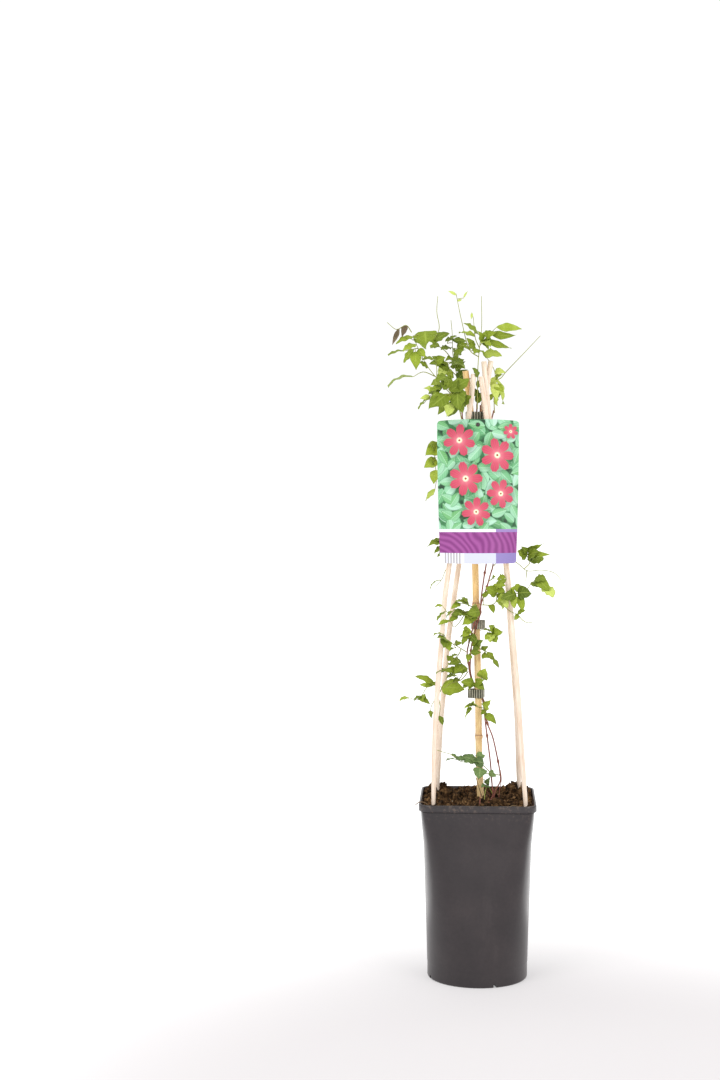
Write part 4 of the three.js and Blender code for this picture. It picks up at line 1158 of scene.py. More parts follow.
# leafy side shoots: stalks, then leaflets as base, tip, width, turn in degrees and own tone

shoots = {
    "spray_low": {
        "stalks": [[[24, -7, 239], [16, -12, 242], [7, -16, 251], [-7, -24, 259], [-21, -30, 259],
            [-33, -27, 267], [-42, -22, 269], [-49, -20, 271]], [[18, -11, 241], [8, -20, 244],
            [1, -27, 251.5]]],
        "leaflets": [[5, -18, 254, -20, -30, 265, 7, 40], [2, -16, 259, 0, -8, 267, 8, 30],
            [0, -28, 252, -1, -38, 240, 11], [-8, -26, 257, -18, -34, 260, 6, 40],
            [-22, -30, 259, -39, -42, 263, 5, 30], [-23, -30, 260, -32, -20, 266, 5, 50]]},
    "spray_crown": {
        "stalks": [[[17, -8, 217], [12, -14, 227], [7, -20, 233]]],
        "leaflets": [[13, -13, 225, 5, -24, 237, 6, 20]]},
    "spray_below_tie": {
        "stalks": [[[7, -4, 320], [8, -8, 317], [8, -10, 311]], [[7.5, -6, 318], [-2, -12, 321],
            [-7, -16, 323], [-12, -21, 319]]],
        "leaflets": [[8, -9, 318, 12, -18, 329, 9], [8, -10, 312, 20, -24, 303, 8],
            [-7, -16, 322, -18, -26, 320, 5, 30], [-10, -19, 320, -16, -30, 309, 5, 50],
            [-5, -14, 322, -6, -24, 327, 7]]},
    "spray_far_left": {
        "stalks": [[[-13, -2, 361], [-20, -7, 352], [-33, -10, 348], [-41, -12, 343], [-51, -14, 348],
            [-61, -18, 344], [-66, -19, 336], [-72, -20, 330], [-82, -23, 333]]],
        "leaflets": [[-52, -14, 348, -74, -30, 359, 7, 0, 0.75], [-53, -13, 346, -69, -4, 346, 5, 0, 0.7],
            [-68, -20, 336, -65, -30, 329, 9], [-82, -23, 333, -93, -33, 331, 6, 50, 0.6]]},
    "spray_mid_left": {
        "stalks": [[[-12, -5, 365], [-22, -7, 364], [-33, -2, 361], [-40, 2, 365]], [[-16, -6, 365],
            [-22, 1, 352], [-30, 6, 351], [-38, 10, 347], [-42, 12, 341]]],
        "leaflets": [[-41, 11, 340, -16, 1, 340, 17, 0, 0.7], [-17, -7, 365, -35, 8, 369, 7, 20],
            [-18, -9, 368, -29, -22, 361, 10], [-25, 2, 356, -38, -6, 353, 6, 20]]},
    "spray_mid_pair": {
        "stalks": [[[-14, -6, 385], [-28, -16, 394], [-36, -34, 399], [-40, -38, 404]], [[-20, -11, 389],
            [-23, -14, 383], [-31, -20, 376], [-38, -30, 370], [-43, -38, 366]]],
        "leaflets": [[-41, -38, 407, -54, -43, 408, 8, 30], [-38, -38, 402, -50, -50, 405, 11],
            [-38, -37, 403, -42, -43, 393, 8], [-28, -19, 397, -20, -27, 397, 6, 30],
            [-22, -14, 383, -32, -24, 381, 6, 30], [-43, -38, 366, -51, -40, 363, 5, 30],
            [-31, -20, 376, -36, -12, 381, 7]]},
    "spray_above_tie": {
        "stalks": [[[-9, -4, 354], [-9, -9, 350], [-4, -13, 349], [2, -12, 351], [4, -10, 354]]],
        "leaflets": [[-6, -13, 349, -21, -23, 351, 9], [-3, -13, 350, 5, -24, 353, 8, 20],
            [4, -10, 354, 8, -21, 366, 12], [-9, -12, 349, -11, -20, 342, 6]]},
    "spray_cane_side": {
        "stalks": [[[-11, -7, 381], [-5, -10, 388], [0, -12, 389], [10, -10, 385], [17, -8, 377],
            [22, -10, 369]], [[-5, -10, 388], [-5, -12, 396]]],
        "leaflets": [[-5, -12, 391, -5, -18, 406, 8], [-7, -10, 386, 1, -20, 391, 7, 30],
            [4, -7, 381, 11, -10, 379, 8], [10, -10, 385, 19, -4, 375, 7, 20],
            [-10, -10, 382, -14, -20, 375, 7]]},
    "spray_tie_left": {
        "stalks": [[[-11, -9, 402], [-12, -12, 408], [-11, -13, 413]]],
        "leaflets": [[-11, -13, 413, -19, -17, 404, 8], [-12, -12, 408, -21, -9, 402, 6, 40],
            [-12, -11, 404, -19, -20, 394, 8]]},
    "spray_upper_left": {
        "stalks": [[[-2, -12, 429], [-9, -14, 431], [-19, -16, 433], [-28, -20, 436], [-34, -23, 431],
            [-38, -35, 434], [-44, -38, 442]], [[-5, -13, 430], [-8, -16, 438], [-13, -19, 441],
            [-23, -24, 443], [-31, -26, 438]], [[-16, -15.5, 432], [-20, -14, 424], [-29, -18, 415],
            [-34, -19, 423]]],
        "leaflets": [[-11, -18, 442, -29, -29, 445, 12], [-7, -14, 428, -25, -23, 429, 15],
            [-9, -14, 427, -20, -26, 419, 11], [-31, -22, 434, -38, -16, 425, 6, 30],
            [-8, -16, 437, -4, -24, 441, 8], [-44, -38, 442, -53, -42, 440, 6, 50],
            [-39, -36, 435, -50, -42, 425, 6, 50]]},
    "spray_cluster_right": {
        "stalks": [[[5, -9, 440], [16, -14, 441], [22, -22, 448], [27, -27, 452], [40, -31, 455],
            [52, -30, 457], [61, -27, 468], [67, -25, 472]], [[20, -19, 446], [20, -25, 456],
            [19, -27, 462]], [[22, -22, 448], [28, -27, 441], [36, -30, 434], [44, -28, 431]]],
        "leaflets": [[22, -24, 454, 8, -32, 463, 13, 0, 0.6], [19, -27, 462, 29, -35, 465, 9, 0, 0.7],
            [42, -31, 454, 24, -42, 450, 12, 0, 0.2], [44, -31, 456, 58, -41, 457, 16, 0, 0.25],
            [47, -30, 458, 42, -22, 465, 9, 0, 0.6], [64, -26, 469, 76, -34, 473, 10, 0, 0.3],
            [60, -27, 465, 70, -20, 463, 7, 0, 0.5], [68, -25, 471, 80, -34, 459, 13, 0, 0.3],
            [39, -33, 451, 40, -42, 439, 9, 0, 0.75], [23, -22, 449, 30, -12, 456, 8, 0, 0.6],
            [23, -23, 446, 26, -32, 438, 11, 0, 0.85], [14, -14, 439, 16, -23, 432, 8, 0, 0.8],
            [44, -28, 431, 52, -34, 436, 8, 0, 0.7]]},
    "spray_fork": {
        "stalks": [[[13, -9, 468], [16, -14, 471], [22, -17, 471]]],
        "leaflets": [[15, -13, 471, 18, -22, 475, 6], [21, -17, 471, 30, -24, 474, 8]]},
    "spray_tie_right": {
        "stalks": [[[-12, -2, 396], [-9, 5, 403], [0, 8.5, 408], [8, 2, 410], [15, -12, 409],
            [16, -18, 407]]],
        "leaflets": [[15, -16, 408, 5, -22, 412, 7, 20], [15, -16, 409, 12, -26, 418, 7],
            [16, -17, 408, 26, -27, 411, 8], [16, -19, 406, 19, -28, 398, 8]]},
    "spray_label_right": {
        "stalks": [[[19, -4, 486], [28, 1, 495], [38, 5, 493], [47, 2, 488], [57, -3, 480], [74, -8, 481],
            [88, -12, 478], [96, -15, 470]], [[54, -2, 482.5], [61, 4, 489], [58, 8, 497], [59, 9, 506]],
            [[57, -3, 480], [55, -10, 468]]],
        "leaflets": [[58, 8, 497, 46, 1, 503, 13], [59, 7, 495, 71, -6, 503, 14],
            [61, 5, 491, 78, 11, 493, 11], [60, 7, 499, 84, -6, 499, 7, 50],
            [59, 9, 506, 77, 2, 512, 6, 40]]},
    "spray_label_left_low": {
        "stalks": [[[14, -3, 505], [5, 8, 504], [-12, 12, 498], [-28, 10, 491], [-37, 6, 482],
            [-43, -6, 470], [-50, -13, 463]], [[-28, 10, 491], [-37, 5, 503], [-41, 2, 514]]],
        "leaflets": [[-41, 2, 515, -60, -8, 508, 11], [-39, 4, 507, -52, -8, 500, 10],
            [-43, -8, 469, -57, -21, 460, 6, 30]]},
    "spray_label_left": {
        "stalks": [[[-14, -3, 622], [-26, 0, 628], [-42, 4, 629], [-50, 1, 621], [-51, -2, 606],
            [-49, -3, 590], [-51, -3, 576]]],
        "leaflets": [[-44, 4, 627, -62, -4, 615, 14], [-49, 0, 610, -64, -6, 601, 10],
            [-50, -2, 598, -53, -11, 582, 9], [-51, -4, 576, -62, -9, 562, 6, 30]]},
    "spray_top_low_left": {
        "stalks": [[[-20, -4, 656], [-22, -10, 664], [-25, -20, 672], [-33, -30, 686], [-41, -35, 696]],
            [[-33, -30, 686], [-46, -36, 685], [-56, -40, 685], [-66, -42, 674]]],
        "leaflets": [[-36, -38, 704, -52, -47, 699, 15], [-44, -34, 694, -60, -26, 686, 8],
            [-40, -38, 684, -60, -53, 668, 18], [-60, -41, 680, -72, -44, 668, 6, 40],
            [-36, -30, 680, -49, -22, 662, 8], [-29, -25, 678, -36, -17, 660, 12],
            [-25, -26, 692, -25, -33, 667, 17], [-34, -30, 690, -12, -16, 703, 15]]},
    "spray_top_left": {
        "stalks": [[[-21, -2, 664], [-28, -12, 680], [-39, -20, 692], [-51, -27, 705], [-62, -32, 719],
            [-72, -36, 738], [-78, -38, 753]], [[-52, -27.5, 706], [-66, -34, 711], [-78, -41, 705]],
            [[-50, -26.5, 704], [-50, -23, 715], [-51, -20, 725]], [[-72, -36, 738], [-86, -44, 735]]],
        "leaflets": [[-64, -31, 758, -63, -45, 739, 24], [-75, -38, 734, -75, -46, 713, 11],
            [-77, -34, 737, -88, -24, 722, 8], [-86, -44, 735, -107, -55, 729, 6, 50],
            [-77, -38, 751, -98, -48, 742, 8], [-74, -37, 742, -90, -52, 734, 8],
            [-52, -22, 726, -68, -36, 724, 10], [-77, -41, 704, -107, -55, 693, 8, 50]]},
    "spray_top_middle": {
        "stalks": [[[-7, 14, 664], [-18, 22, 690], [-25, 27, 714], [-29, 25, 735], [-30, 19, 757],
            [-32, 11, 774]], [[-27, 26, 726], [-38, 20, 738], [-51, 12, 749], [-46, 6, 764], [-49, 2, 783],
            [-48, 0, 801]], [[-24, 26, 708], [-34, 18, 718], [-42, 8, 722]]],
        "leaflets": [[-40, 10, 722, -54, -3, 731, 10], [-36, 19, 747, -25, 6, 755, 8],
            [-29, 21, 751, -13, 29, 751, 7, 40], [-50, 11, 750, -35, 0, 758, 9, 20],
            [-28, 22, 731, -15, 10, 739, 11], [-33, -4, 724, -17, -19, 717, 13],
            [-41, 7, 721, -39, -8, 707, 10], [-28, 28, 738, -20, 42, 736, 10],
            [-45, 16, 743, -56, 24, 743, 8]]},
    "spray_top_centre": {
        "stalks": [[[-1.5, -3, 669], [-1.5, -4, 700], [-1, -5, 722], [1, -6, 745], [3, -4, 763],
            [3, 0, 801]], [[1, -6, 743], [9, -10, 753], [20, -14, 764]], [[-1, -5, 730], [-10, 4, 738],
            [-20, 10, 775], [-26, 12, 805]], [[1, -6, 740], [-4, -3, 751], [-6, 3, 774]]],
        "leaflets": [[-1, -7, 756, -19, -20, 768, 9], [-5, -3, 754, -23, 8, 759, 8, 40],
            [3, -9, 748, -3, -21, 759, 8], [-9, 3, 739, -22, 14, 745, 7, 30],
            [8, -10, 751, 19, -23, 758, 7], [14, -12, 756, 42, -26, 754, 9, 50],
            [20, -14, 764, 48, -34, 760, 9, 40], [4, -8, 747, 12, -26, 740, 10],
            [8, -9, 749, 38, -2, 740, 8, 40], [-26, 12, 803, -35, 13, 808, 3, 0, 1.3],
            [-17, 12, 800, -12, 14, 808, 2.5, 0, 1.3], [-26, 12, 796, -19, 13, 798, 2.5, 0, 1.3],
            [-8, 3, 782, -9, 2, 774, 2.5, 0, 1.3]]},
    "spray_top_right": {
        "stalks": [[[20, 10, 665], [19, 15, 688], [20, 18, 714], [11, 13, 729], [6, 7, 733]],
            [[20, 17, 704], [27, 21, 706], [33, 24, 713], [56, 28, 737], [75, 30, 757]]],
        "leaflets": [[7, 6, 734, 26, -8, 732, 10], [10, 13, 731, 14, 20, 741, 8],
            [21, 17, 714, 32, 10, 713, 7, 30], [21, 15, 708, 15, 19, 696, 7], [20, 13, 700, 21, 5, 680, 9],
            [23, 20, 703, 31, 30, 676, 9], [19, 16, 684, 24, 26, 674, 9]]},
}

witheredLeaf = {
    "stalks": [[[-79.5, -39, 756], [-86, -41, 764], [-97, -44, 759], [-108, -46, 767]]],
    "leaflets": [[-86, -41, 763, -91, -46, 751, 5.5, 30], [-93, -44, 759, -102, -48, 741, 5, -30],
      [-95, -44, 759, -99, -50, 748, 4, 40], [-88, -41, 763, -89, -40, 753, 5]],
}


# smaller leaflets and stalks that fill the sprays
fillers = {
    "spray_low": {
        "leaflets": [[-4, -22, 259, -20, -33, 266, 8, 20, 0.2], [6, -17, 255, -8, -27, 260, 9, 10, 0.25],
            [-12, -28, 259, -27, -35, 264, 6, 20, 0.3], [14, -14, 246, 20, -22, 240, 6, 20, 0.3]]},
    "spray_crown": {
        "stalks": [[[10, -17, 229], [7, -24, 221], [6, -28, 208]]],
        "leaflets": [[12, -15, 229, 3, -26, 228, 7, 20, 0.2], [10, -17, 230, 12, -26, 240, 5, 0, 0.3]]},
    "spray_below_tie": {
        "leaflets": [[-4, -13, 321, -14, -22, 324, 6, 20, 0.4], [-9, -18, 320, -14, -26, 313, 5, 20, 0.5],
            [8, -8, 316, 3, -17, 312, 6, 10, 0.4]]},
    "spray_far_left": {
        "leaflets": [[-53, -14, 347, -65, -22, 345, 6, 20, 0.65],
            [-66, -20, 334, -76, -28, 329, 7, 20, 0.4], [-66, -20, 334, -58, -26, 326, 6, 20, 0.45],
            [-45, -13, 345, -56, -22, 350, 6, 20, 0.4]]},
    "spray_mid_left": {
        "stalks": [[[-41, 12, 342], [-46, 11, 331], [-53, 9, 322], [-56, 8, 313]], [[-46, 11, 331],
            [-44, 11, 318], [-45, 10, 306]]],
        "leaflets": [[-14, -8, 367, -27, -16, 361, 10, 10, 0.3],
            [-25, -9, 363, -42, -18, 364, 8, 10, 0.35], [-27, -5, 359, -38, -13, 354, 8, 20, 0.25],
            [-22, 1, 352, -30, -8, 348, 6, 20, 0.3], [-39, -2, 364, -49, -8, 359, 6, 30, 0.2],
            [-20, -10, 372, -32, -17, 377, 7, 20, 0.35], [-56, 8, 314, -55, 2, 305, 5, 0, 0.3],
            [-45, 10, 307, -41, 3, 297, 6, 0, 0.3]]},
    "spray_mid_pair": {
        "leaflets": [[-37, -36, 400, -36, -42, 390, 9, 0, 0.55],
            [-27, -22, 391, -35, -30, 388, 6, 30, 0.4], [-24, -16, 375, -35, -26, 371, 8, 20, 0.35],
            [-40, -37, 405, -46, -42, 399, 7, 0, 0.3]]},
    "spray_above_tie": {
        "leaflets": [[-4, -14, 349, 6, -24, 344, 8, 10, 0.5], [-8, -12, 350, -19, -22, 345, 7, 10, 0.45]]},
    "spray_cane_side": {
        "leaflets": [[-9, -12, 385, 3, -20, 386, 6, 20, 0.4], [-3, -13, 391, 4, -20, 400, 8, 0, 0.25],
            [3, -11, 388, 11, -18, 393, 6, 20, 0.4], [17, -8, 377, 24, -14, 366, 5, 20, 0.5]]},
    "spray_tie_left": {
        "leaflets": [[-10, -13, 410, -18, -21, 413, 8, 0, 0.75], [-10, -13, 405, -3, -20, 397, 8, 0, 0.2]]},
    "spray_upper_left": {
        "leaflets": [[1, -14, 433, -16, -24, 431, 11, 0, 0.35],
            [-18, -17, 433, -33, -26, 430, 8, 10, 0.25], [-25, -18, 428, -36, -26, 422, 6, 20, 0.4],
            [-12, -18, 441, -22, -26, 450, 8, 10, 0.5], [-22, -23, 443, -33, -30, 438, 7, 20, 0.45],
            [-35, -24, 423, -48, -32, 419, 5, 30, 0.5], [-4, -13, 429, -10, -22, 420, 8, 0, 0.3]]},
    "spray_cluster_right": {
        "stalks": [[[44, -28, 431], [50, -30, 424], [56, -31, 421], [61, -31, 422]]],
        "leaflets": [[15, -20, 462, 29, -30, 457, 11, 0, 0.55], [21, -26, 464, 30, -33, 472, 8, 0, 0.5],
            [27, -27, 451, 32, -35, 439, 9, 0, 0.8], [45, -31, 452, 50, -39, 437, 10, 0, 0.7],
            [73, -28, 462, 86, -35, 453, 13, 0, 1.3], [36, -30, 454, 41, -38, 464, 8, 0, 0.6],
            [30, -29, 452, 20, -37, 447, 8, 0, 0.7], [33, -29, 453, 38, -37, 446, 8, 0, 0.5],
            [5, -10, 450, 12, -17, 458, 6, 10, 0.6], [46, -28, 431, 40, -34, 425, 6, 10, 0.5]]},
    "spray_tie_right": {
        "leaflets": [[14, -16, 407, 7, -23, 401, 7, 0, 0.8], [16, -18, 407, 13, -26, 398, 8, 0, 0.75]]},
    "spray_label_right": {
        "leaflets": [[62, 5, 492, 72, -3, 496, 9, 0, 0.4], [57, 8, 500, 50, 0, 508, 8, 10, 0.45],
            [59, 8, 502, 70, 0, 507, 7, 20, 0.4]]},
    "spray_label_left_low": {
        "leaflets": [[-41, 3, 512, -52, -6, 516, 7, 10, 0.4], [-38, 5, 504, -48, -3, 496, 7, 10, 0.5]]},
    "spray_label_left": {
        "leaflets": [[-48, 2, 622, -57, -5, 628, 9, 0, 0.4], [-50, -1, 606, -56, -7, 612, 8, 0, 0.45]]},
    "spray_top_low_left": {
        "leaflets": [[-46, -34, 693, -60, -42, 687, 9, 0, 0.75],
            [-33, -30, 684, -47, -26, 674, 9, 20, 0.7], [-27, -24, 678, -20, -30, 664, 11, 0, 0.25],
            [-24, -20, 672, -16, -16, 690, 11, 0, 0.15], [-30, -27, 684, -24, -22, 702, 10, 10, 0.3],
            [-50, -38, 683, -58, -46, 672, 8, 10, 0.4], [-36, -32, 694, -48, -40, 704, 13, 0, 0.25],
            [-34, -28, 676, -39, -34, 660, 11, 0, 1.1], [-52, -34, 688, -66, -38, 692, 8, 0, 1.0],
            [-58, -38, 682, -70, -42, 680, 6, 0, 0.9], [-35, -28, 700, -46, -34, 692, 12, 10, 0.15],
            [-22, -14, 674, -10, -18, 684, 13, 0, 0.3], [-38, -34, 694, -36, -42, 708, 9, 0, 0.3]]},
    "spray_top_left": {
        "leaflets": [[-60, -31, 717, -72, -38, 722, 8, 20, 0.45],
            [-66, -33, 726, -78, -40, 727, 8, 20, 0.55], [-51, -21, 724, -40, -28, 728, 9, 10, 0.35],
            [-46, -24, 700, -57, -32, 697, 8, 10, 0.6], [-76, -38, 745, -88, -44, 749, 6, 20, 0.5],
            [-72, -36, 737, -64, -42, 727, 8, 0, 0.6]]},
    "spray_top_middle": {
        "leaflets": [[-35, 6, 716, -47, -8, 706, 13, 0, 0.95], [-27, 18, 752, -39, 8, 749, 8, 10, 0.25],
            [-24, 24, 742, -12, 14, 747, 8, 10, 0.3], [-30, 4, 724, -17, -10, 716, 13, 0, 0.15],
            [-25, 26, 716, -14, 18, 726, 9, 10, 0.3], [-30, 16, 722, -18, 6, 728, 12, 0, 0.25],
            [-24, 22, 704, -12, 12, 716, 12, 0, 0.2], [-34, 12, 718, -46, 4, 724, 10, 0, 0.4],
            [-44, 8, 722, -58, -2, 722, 9, 0, 0.5], [-29, 20, 712, -40, 10, 710, 11, 0, 0.7],
            [-48, 13, 745, -58, 6, 751, 7, 10, 0.3], [-22, 24, 702, -30, 10, 694, 11, 0, 0.5],
            [-32, 17, 742, -44, 8, 740, 8, 10, 0.4], [-27, 24, 730, -38, 14, 726, 9, 10, 0.45],
            [-20, 22, 696, -8, 14, 706, 9, 10, 0.2]]},
    "spray_top_centre": {
        "leaflets": [[6, -8, 749, 17, -16, 744, 9, 10, 0.3], [3, -8, 753, 15, -15, 758, 8, 10, 0.4],
            [-4, -4, 738, -14, -12, 744, 8, 10, 0.35], [1, -7, 738, -7, -15, 733, 8, 10, 0.5],
            [5, -8, 749, 10, -15, 737, 8, 10, 0.4], [-6, 2, 740, -14, -4, 752, 7, 20, 0.3],
            # the four leaflets on the centre stalk from 676 to 706 mm high get the darkest tones as painted
            # shade for the shaded gap between the canes
            [-1.5, -4, 706, -7, -10, 717, 6, 0, 0.1], [-1.5, -4, 694, 5, -2, 706, 7, 0, 0.1],
            [-1.5, -4, 684, -8, 2, 694, 8, 0, 0.05], [-1.5, -4, 676, 4, 4, 690, 8, 0, 0.1]]},
    "spray_top_right": {
        "leaflets": [[20, 13, 698, 29, 6, 690, 8, 0, 0.8], [22, 19, 700, 26, 24, 684, 9, 0, 0.75],
            [20, 15, 688, 13, 10, 678, 8, 0, 0.6], [10, 12, 730, 2, 4, 738, 7, 10, 0.5],
            [20, 16, 706, 29, 10, 710, 7, 10, 0.5]]},
}

# how much broader than their listed width the blades of a spray are, where it isn't the usual
spraySpread = {"spray_low": 1.5, "spray_crown": 1.5, "spray_label_left": 1.35, "spray_tie_right": 1.4,
               "spray_cluster_right": 1.0}

# how each spray's leaves are toned: from dark, 0, to lime, 1
sprayTones = {
    "spray_low": 0.25, "spray_crown": 0.2, "spray_below_tie": 0.6, "spray_far_left": 0.4,
    "spray_mid_left": 0.4,
    "spray_mid_pair": 0.45, "spray_above_tie": 0.6, "spray_cane_side": 0.45, "spray_tie_left": 0.6,
    "spray_upper_left": 0.5, "spray_cluster_right": 0.5, "spray_fork": 0.6, "spray_tie_right": 0.65,
    "spray_label_right": 0.45, "spray_label_left_low": 0.5, "spray_label_left": 0.7,
    "spray_top_low_left": 0.35,
    "spray_top_left": 0.6, "spray_top_middle": 0.3, "spray_top_centre": 0.65, "spray_top_right": 0.95,
}

foliage = {
    "stalkRadius": 0.62, "stalkTip": 0.34, "stalkSides": 8, "stalkStep": 3, "petiole": 0.42, "shortest": 2.4,
    "thick": 0.35, "arch": 0.3, "fold": 0.06, "wave": 0.35, "lean": 24, "rows": 14, "columns": 6, "seed": 21,
    "spread": 1.2, "lobedUnder": 13, "lobedShare": 0.5, "slim": 2.3, "arches": (-0.12, 0.3),
    "twists": (-0.25, 0.25), "toneRange": (-0.2, 0.2),
}

# half width along a blade, as a share of its widest place
bladeShapes = {
    "bladeBroad": [(0, 0.1), (0.08, 0.58), (0.2, 0.9), (0.34, 1), (0.5, 0.95), (0.66, 0.76), (0.8, 0.48),
                   (0.92, 0.2), (1, 0.02)],
    "bladeLobed": [(0, 0.1), (0.1, 0.5), (0.22, 0.86), (0.36, 1), (0.44, 0.98), (0.5, 0.74), (0.62, 0.66),
                   (0.74, 0.56), (0.9, 0.26), (1, 0.02)],
    "bladeNarrow": [(0, 0.12), (0.12, 0.5), (0.28, 0.9), (0.42, 1), (0.6, 0.86), (0.78, 0.52), (0.9, 0.24),
                    (1, 0.02)],
    "bladeRound": [(0, 0.3), (0.08, 0.78), (0.2, 1), (0.45, 0.97), (0.7, 0.8), (0.88, 0.5), (1, 0.1)],
}
roundSprays = ("spray_cluster_right", "spray_above_tie", "spray_tie_left", "spray_tie_right")
coolSprays = ("spray_low", "spray_crown")


def halfWidth(shape, along):
    for (a, low), (b, high) in zip(shape, shape[1:]):
        if along <= b:
            return blend(low, high, ease(along, a, b) * 0.4 + (along - a) / (b - a) * 0.6)
    return shape[-1][1]


def makeBlade(name, shape):
    # a flat closed blade of length, width and thickness 1, with its places along and across kept
    rows, columns = foliage["rows"], foliage["columns"]
    verts, marks = [], []
    for side in (0.5, -0.5):
        for i in range(rows + 1):
            along = i / rows
            for j in range(columns + 1):
                across = j / columns * 2 - 1
                verts.append((across * halfWidth(shape, along) / 2, along, side))
                marks += [across, along, side * 2]
    mesh = bpy.data.meshes.new(name)
    mesh.from_pydata(verts, [], sheetFaces(rows, columns))
    keepValues(mesh, "leafPlace", "FLOAT_VECTOR", marks)
    return bpy.data.objects.new(name, mesh)


def makeLeafTree():
    tree, start, end = newShapeTree("leafletsOnBases", {
        "Blades": "Collection", "Arch": "Float", "Fold": "Float", "Wave": "Float"})

    def kept(name, kind="FLOAT_VECTOR"):
        node = addNode(tree, "GeometryNodeInputNamedAttribute", {"Name": name}, data_type=kind)
        return node.outputs["Attribute"]

    blades = made(tree, "GeometryNodeCollectionInfo", {"Collection": start["Blades"],
                  "Separate Children": True, "Reset Children": True})
    turned = made(tree, "FunctionNodeEulerToRotation", {0: kept("turned")})
    leaves = made(tree, "GeometryNodeInstanceOnPoints", {
     "Points": start["Geometry"], "Instance": blades, "Pick Instance": True,
     "Instance Index": kept("shape", "INT"), "Rotation": turned, "Scale": kept("sizes")})
    whole = made(tree, "GeometryNodeRealizeInstances", {"Geometry": leaves})
    across, along, _ = split(kept("leafPlace"))
    width, length, _ = split(kept("sizes"))
    bend = split(kept("bends"))
    away = maths("ABSOLUTE", across)
    bow = times(along, minus(1.0, along))
    arch = times(times(bow, length), plus(start["Arch"], bend[0]))
    rise = times(times(maths("POWER", away, 1.4), width),
                 times(start["Fold"], maths("SQRT", times(bow, 4.0))))
    twist = times(times(across, along), times(width, bend[1]))
    phase = maths("MULTIPLY_ADD", along, 17.0, times(bend[2], 9.0))
    phase = maths("MULTIPLY_ADD", across, 1.3, phase)
    wave = times(maths("SINE", phase), times(maths("POWER", away, 2.0),
                                             times(width, times(start["Wave"], bow))))
    lift = plus(plus(arch, rise), plus(twist, wave))
    shift = addNode(tree, "ShaderNodeVectorMath", {0: kept("facing")}, operation="SCALE")
    link(lift, shift, "Scale")
    shaped = made(tree, "GeometryNodeSetPosition", {"Geometry": whole, "Offset": shift.outputs[0]})
    paint(tree, shaped, start, end)
    return tree


def bladeFrame(base, tip, turn):
    along = (tip - base).normalized()
    lean = math.sin(base.x * 0.9 + base.z * 0.37) * foliage["lean"]
    light = Vector((0, -1, 0.6))
    facing = (light - along * along.dot(light)).normalized()
    facing.rotate(Quaternion(along, math.radians(turn + lean)))
    return along, facing, along.cross(facing)


def pointsMesh(name, leaves):
    # one vertex for each leaf with what the tree needs to know of it
    mesh = bpy.data.meshes.new(name)
    mesh.from_pydata([leaf["base"] * mm for leaf in leaves], [], [])
    for key in ("turned", "facing", "sizes", "bends"):
        keepValues(mesh, key, "FLOAT_VECTOR", [value for leaf in leaves for value in leaf[key]])
    keepValues(mesh, "shape", "INT", [leaf["shape"] for leaf in leaves])
    keepValues(mesh, "tone", "FLOAT", [leaf["tone"] for leaf in leaves])
    return mesh


def besideStem(route):
    start = Vector(route[0])
    root = nearest(stemLines, start)
    return [root + (start - root).normalized() * (stems["radius"] + 0.9), *route[1:]]


def makeSpray(name, spray, rooted, tone, leafMaterial, stalkMaterial):
    draw = random.Random(foliage["seed"] + len(spray["leaflets"]) * 7 + len(name))
    main, *others = spray["stalks"]
    lines = [smoothPath(besideStem(main) if rooted else main, foliage["stalkStep"])]
    more = fillers.get(name, {})
    for first, *rest in [*others, *more.get("stalks", [])]:
        lines.append(smoothPath([nearest(lines, Vector(first)), *rest], foliage["stalkStep"]))
    bars = []
    for line in lines:
        count = len(line) - 1
        radii = [blend(foliage["stalkRadius"], foliage["stalkTip"], i / count) for i in range(count + 1)]
        bars.append((line, radii))
    leaves = []
    spread = spraySpread.get(name, foliage["spread"])
    for leaflet in [*spray["leaflets"], *more.get("leaflets", [])]:
        base, tip, width = Vector(leaflet[:3]), Vector(leaflet[3:6]), leaflet[6] * spread
        turn = leaflet[7] if len(leaflet) > 7 else 0
        ownTone = leaflet[8] if len(leaflet) > 8 else tone
        root = nearest(lines, base)
        if (base - root).length < foliage["shortest"]:
            base = root
        else:
            along = (tip - base).normalized()
            middle = (root + base) / 2 + (base - root).cross(along) * 0.08
            path = smoothPath([root, middle, base, base + along * 1.2], 1.5)
            bars.append((path, [foliage["petiole"]] * len(path)))
        along, facing, side = bladeFrame(base, tip, turn)
        length = (tip - base).length
        lobed = width < foliage["lobedUnder"] and draw.random() < foliage["lobedShare"]
        shape = 2 if length > width * foliage["slim"] else 3 if name in roundSprays else 1 if lobed else 0
        leaves.append({
            "base": base, "facing": facing, "shape": shape,
            "turned": Matrix((side, along, facing)).transposed().to_euler(),
            "sizes": (width * mm, length * mm, foliage["thick"] * mm),
            "bends": (draw.uniform(*foliage["arches"]), draw.uniform(*foliage["twists"]), draw.random()),
            "tone": min(1, max(0, ownTone + draw.uniform(*foliage["toneRange"]))),
        })
    points = linked(name + "Bases", pointsMesh(name + "Bases", leaves))
    blades = runTree(leafTree, points, Blades=bladeCollection, Arch=foliage["arch"], Fold=foliage["fold"],
                     Wave=foliage["wave"], Material=leafMaterial)
    bpy.data.objects.remove(points)
    smoothShade(blades, 60)
    twigs = barsMesh(name + "Stalks", bars, foliage["stalkSides"], stalkMaterial)
    smoothShade(twigs, 60)
    return joinMeshes(name, [blades, twigs])


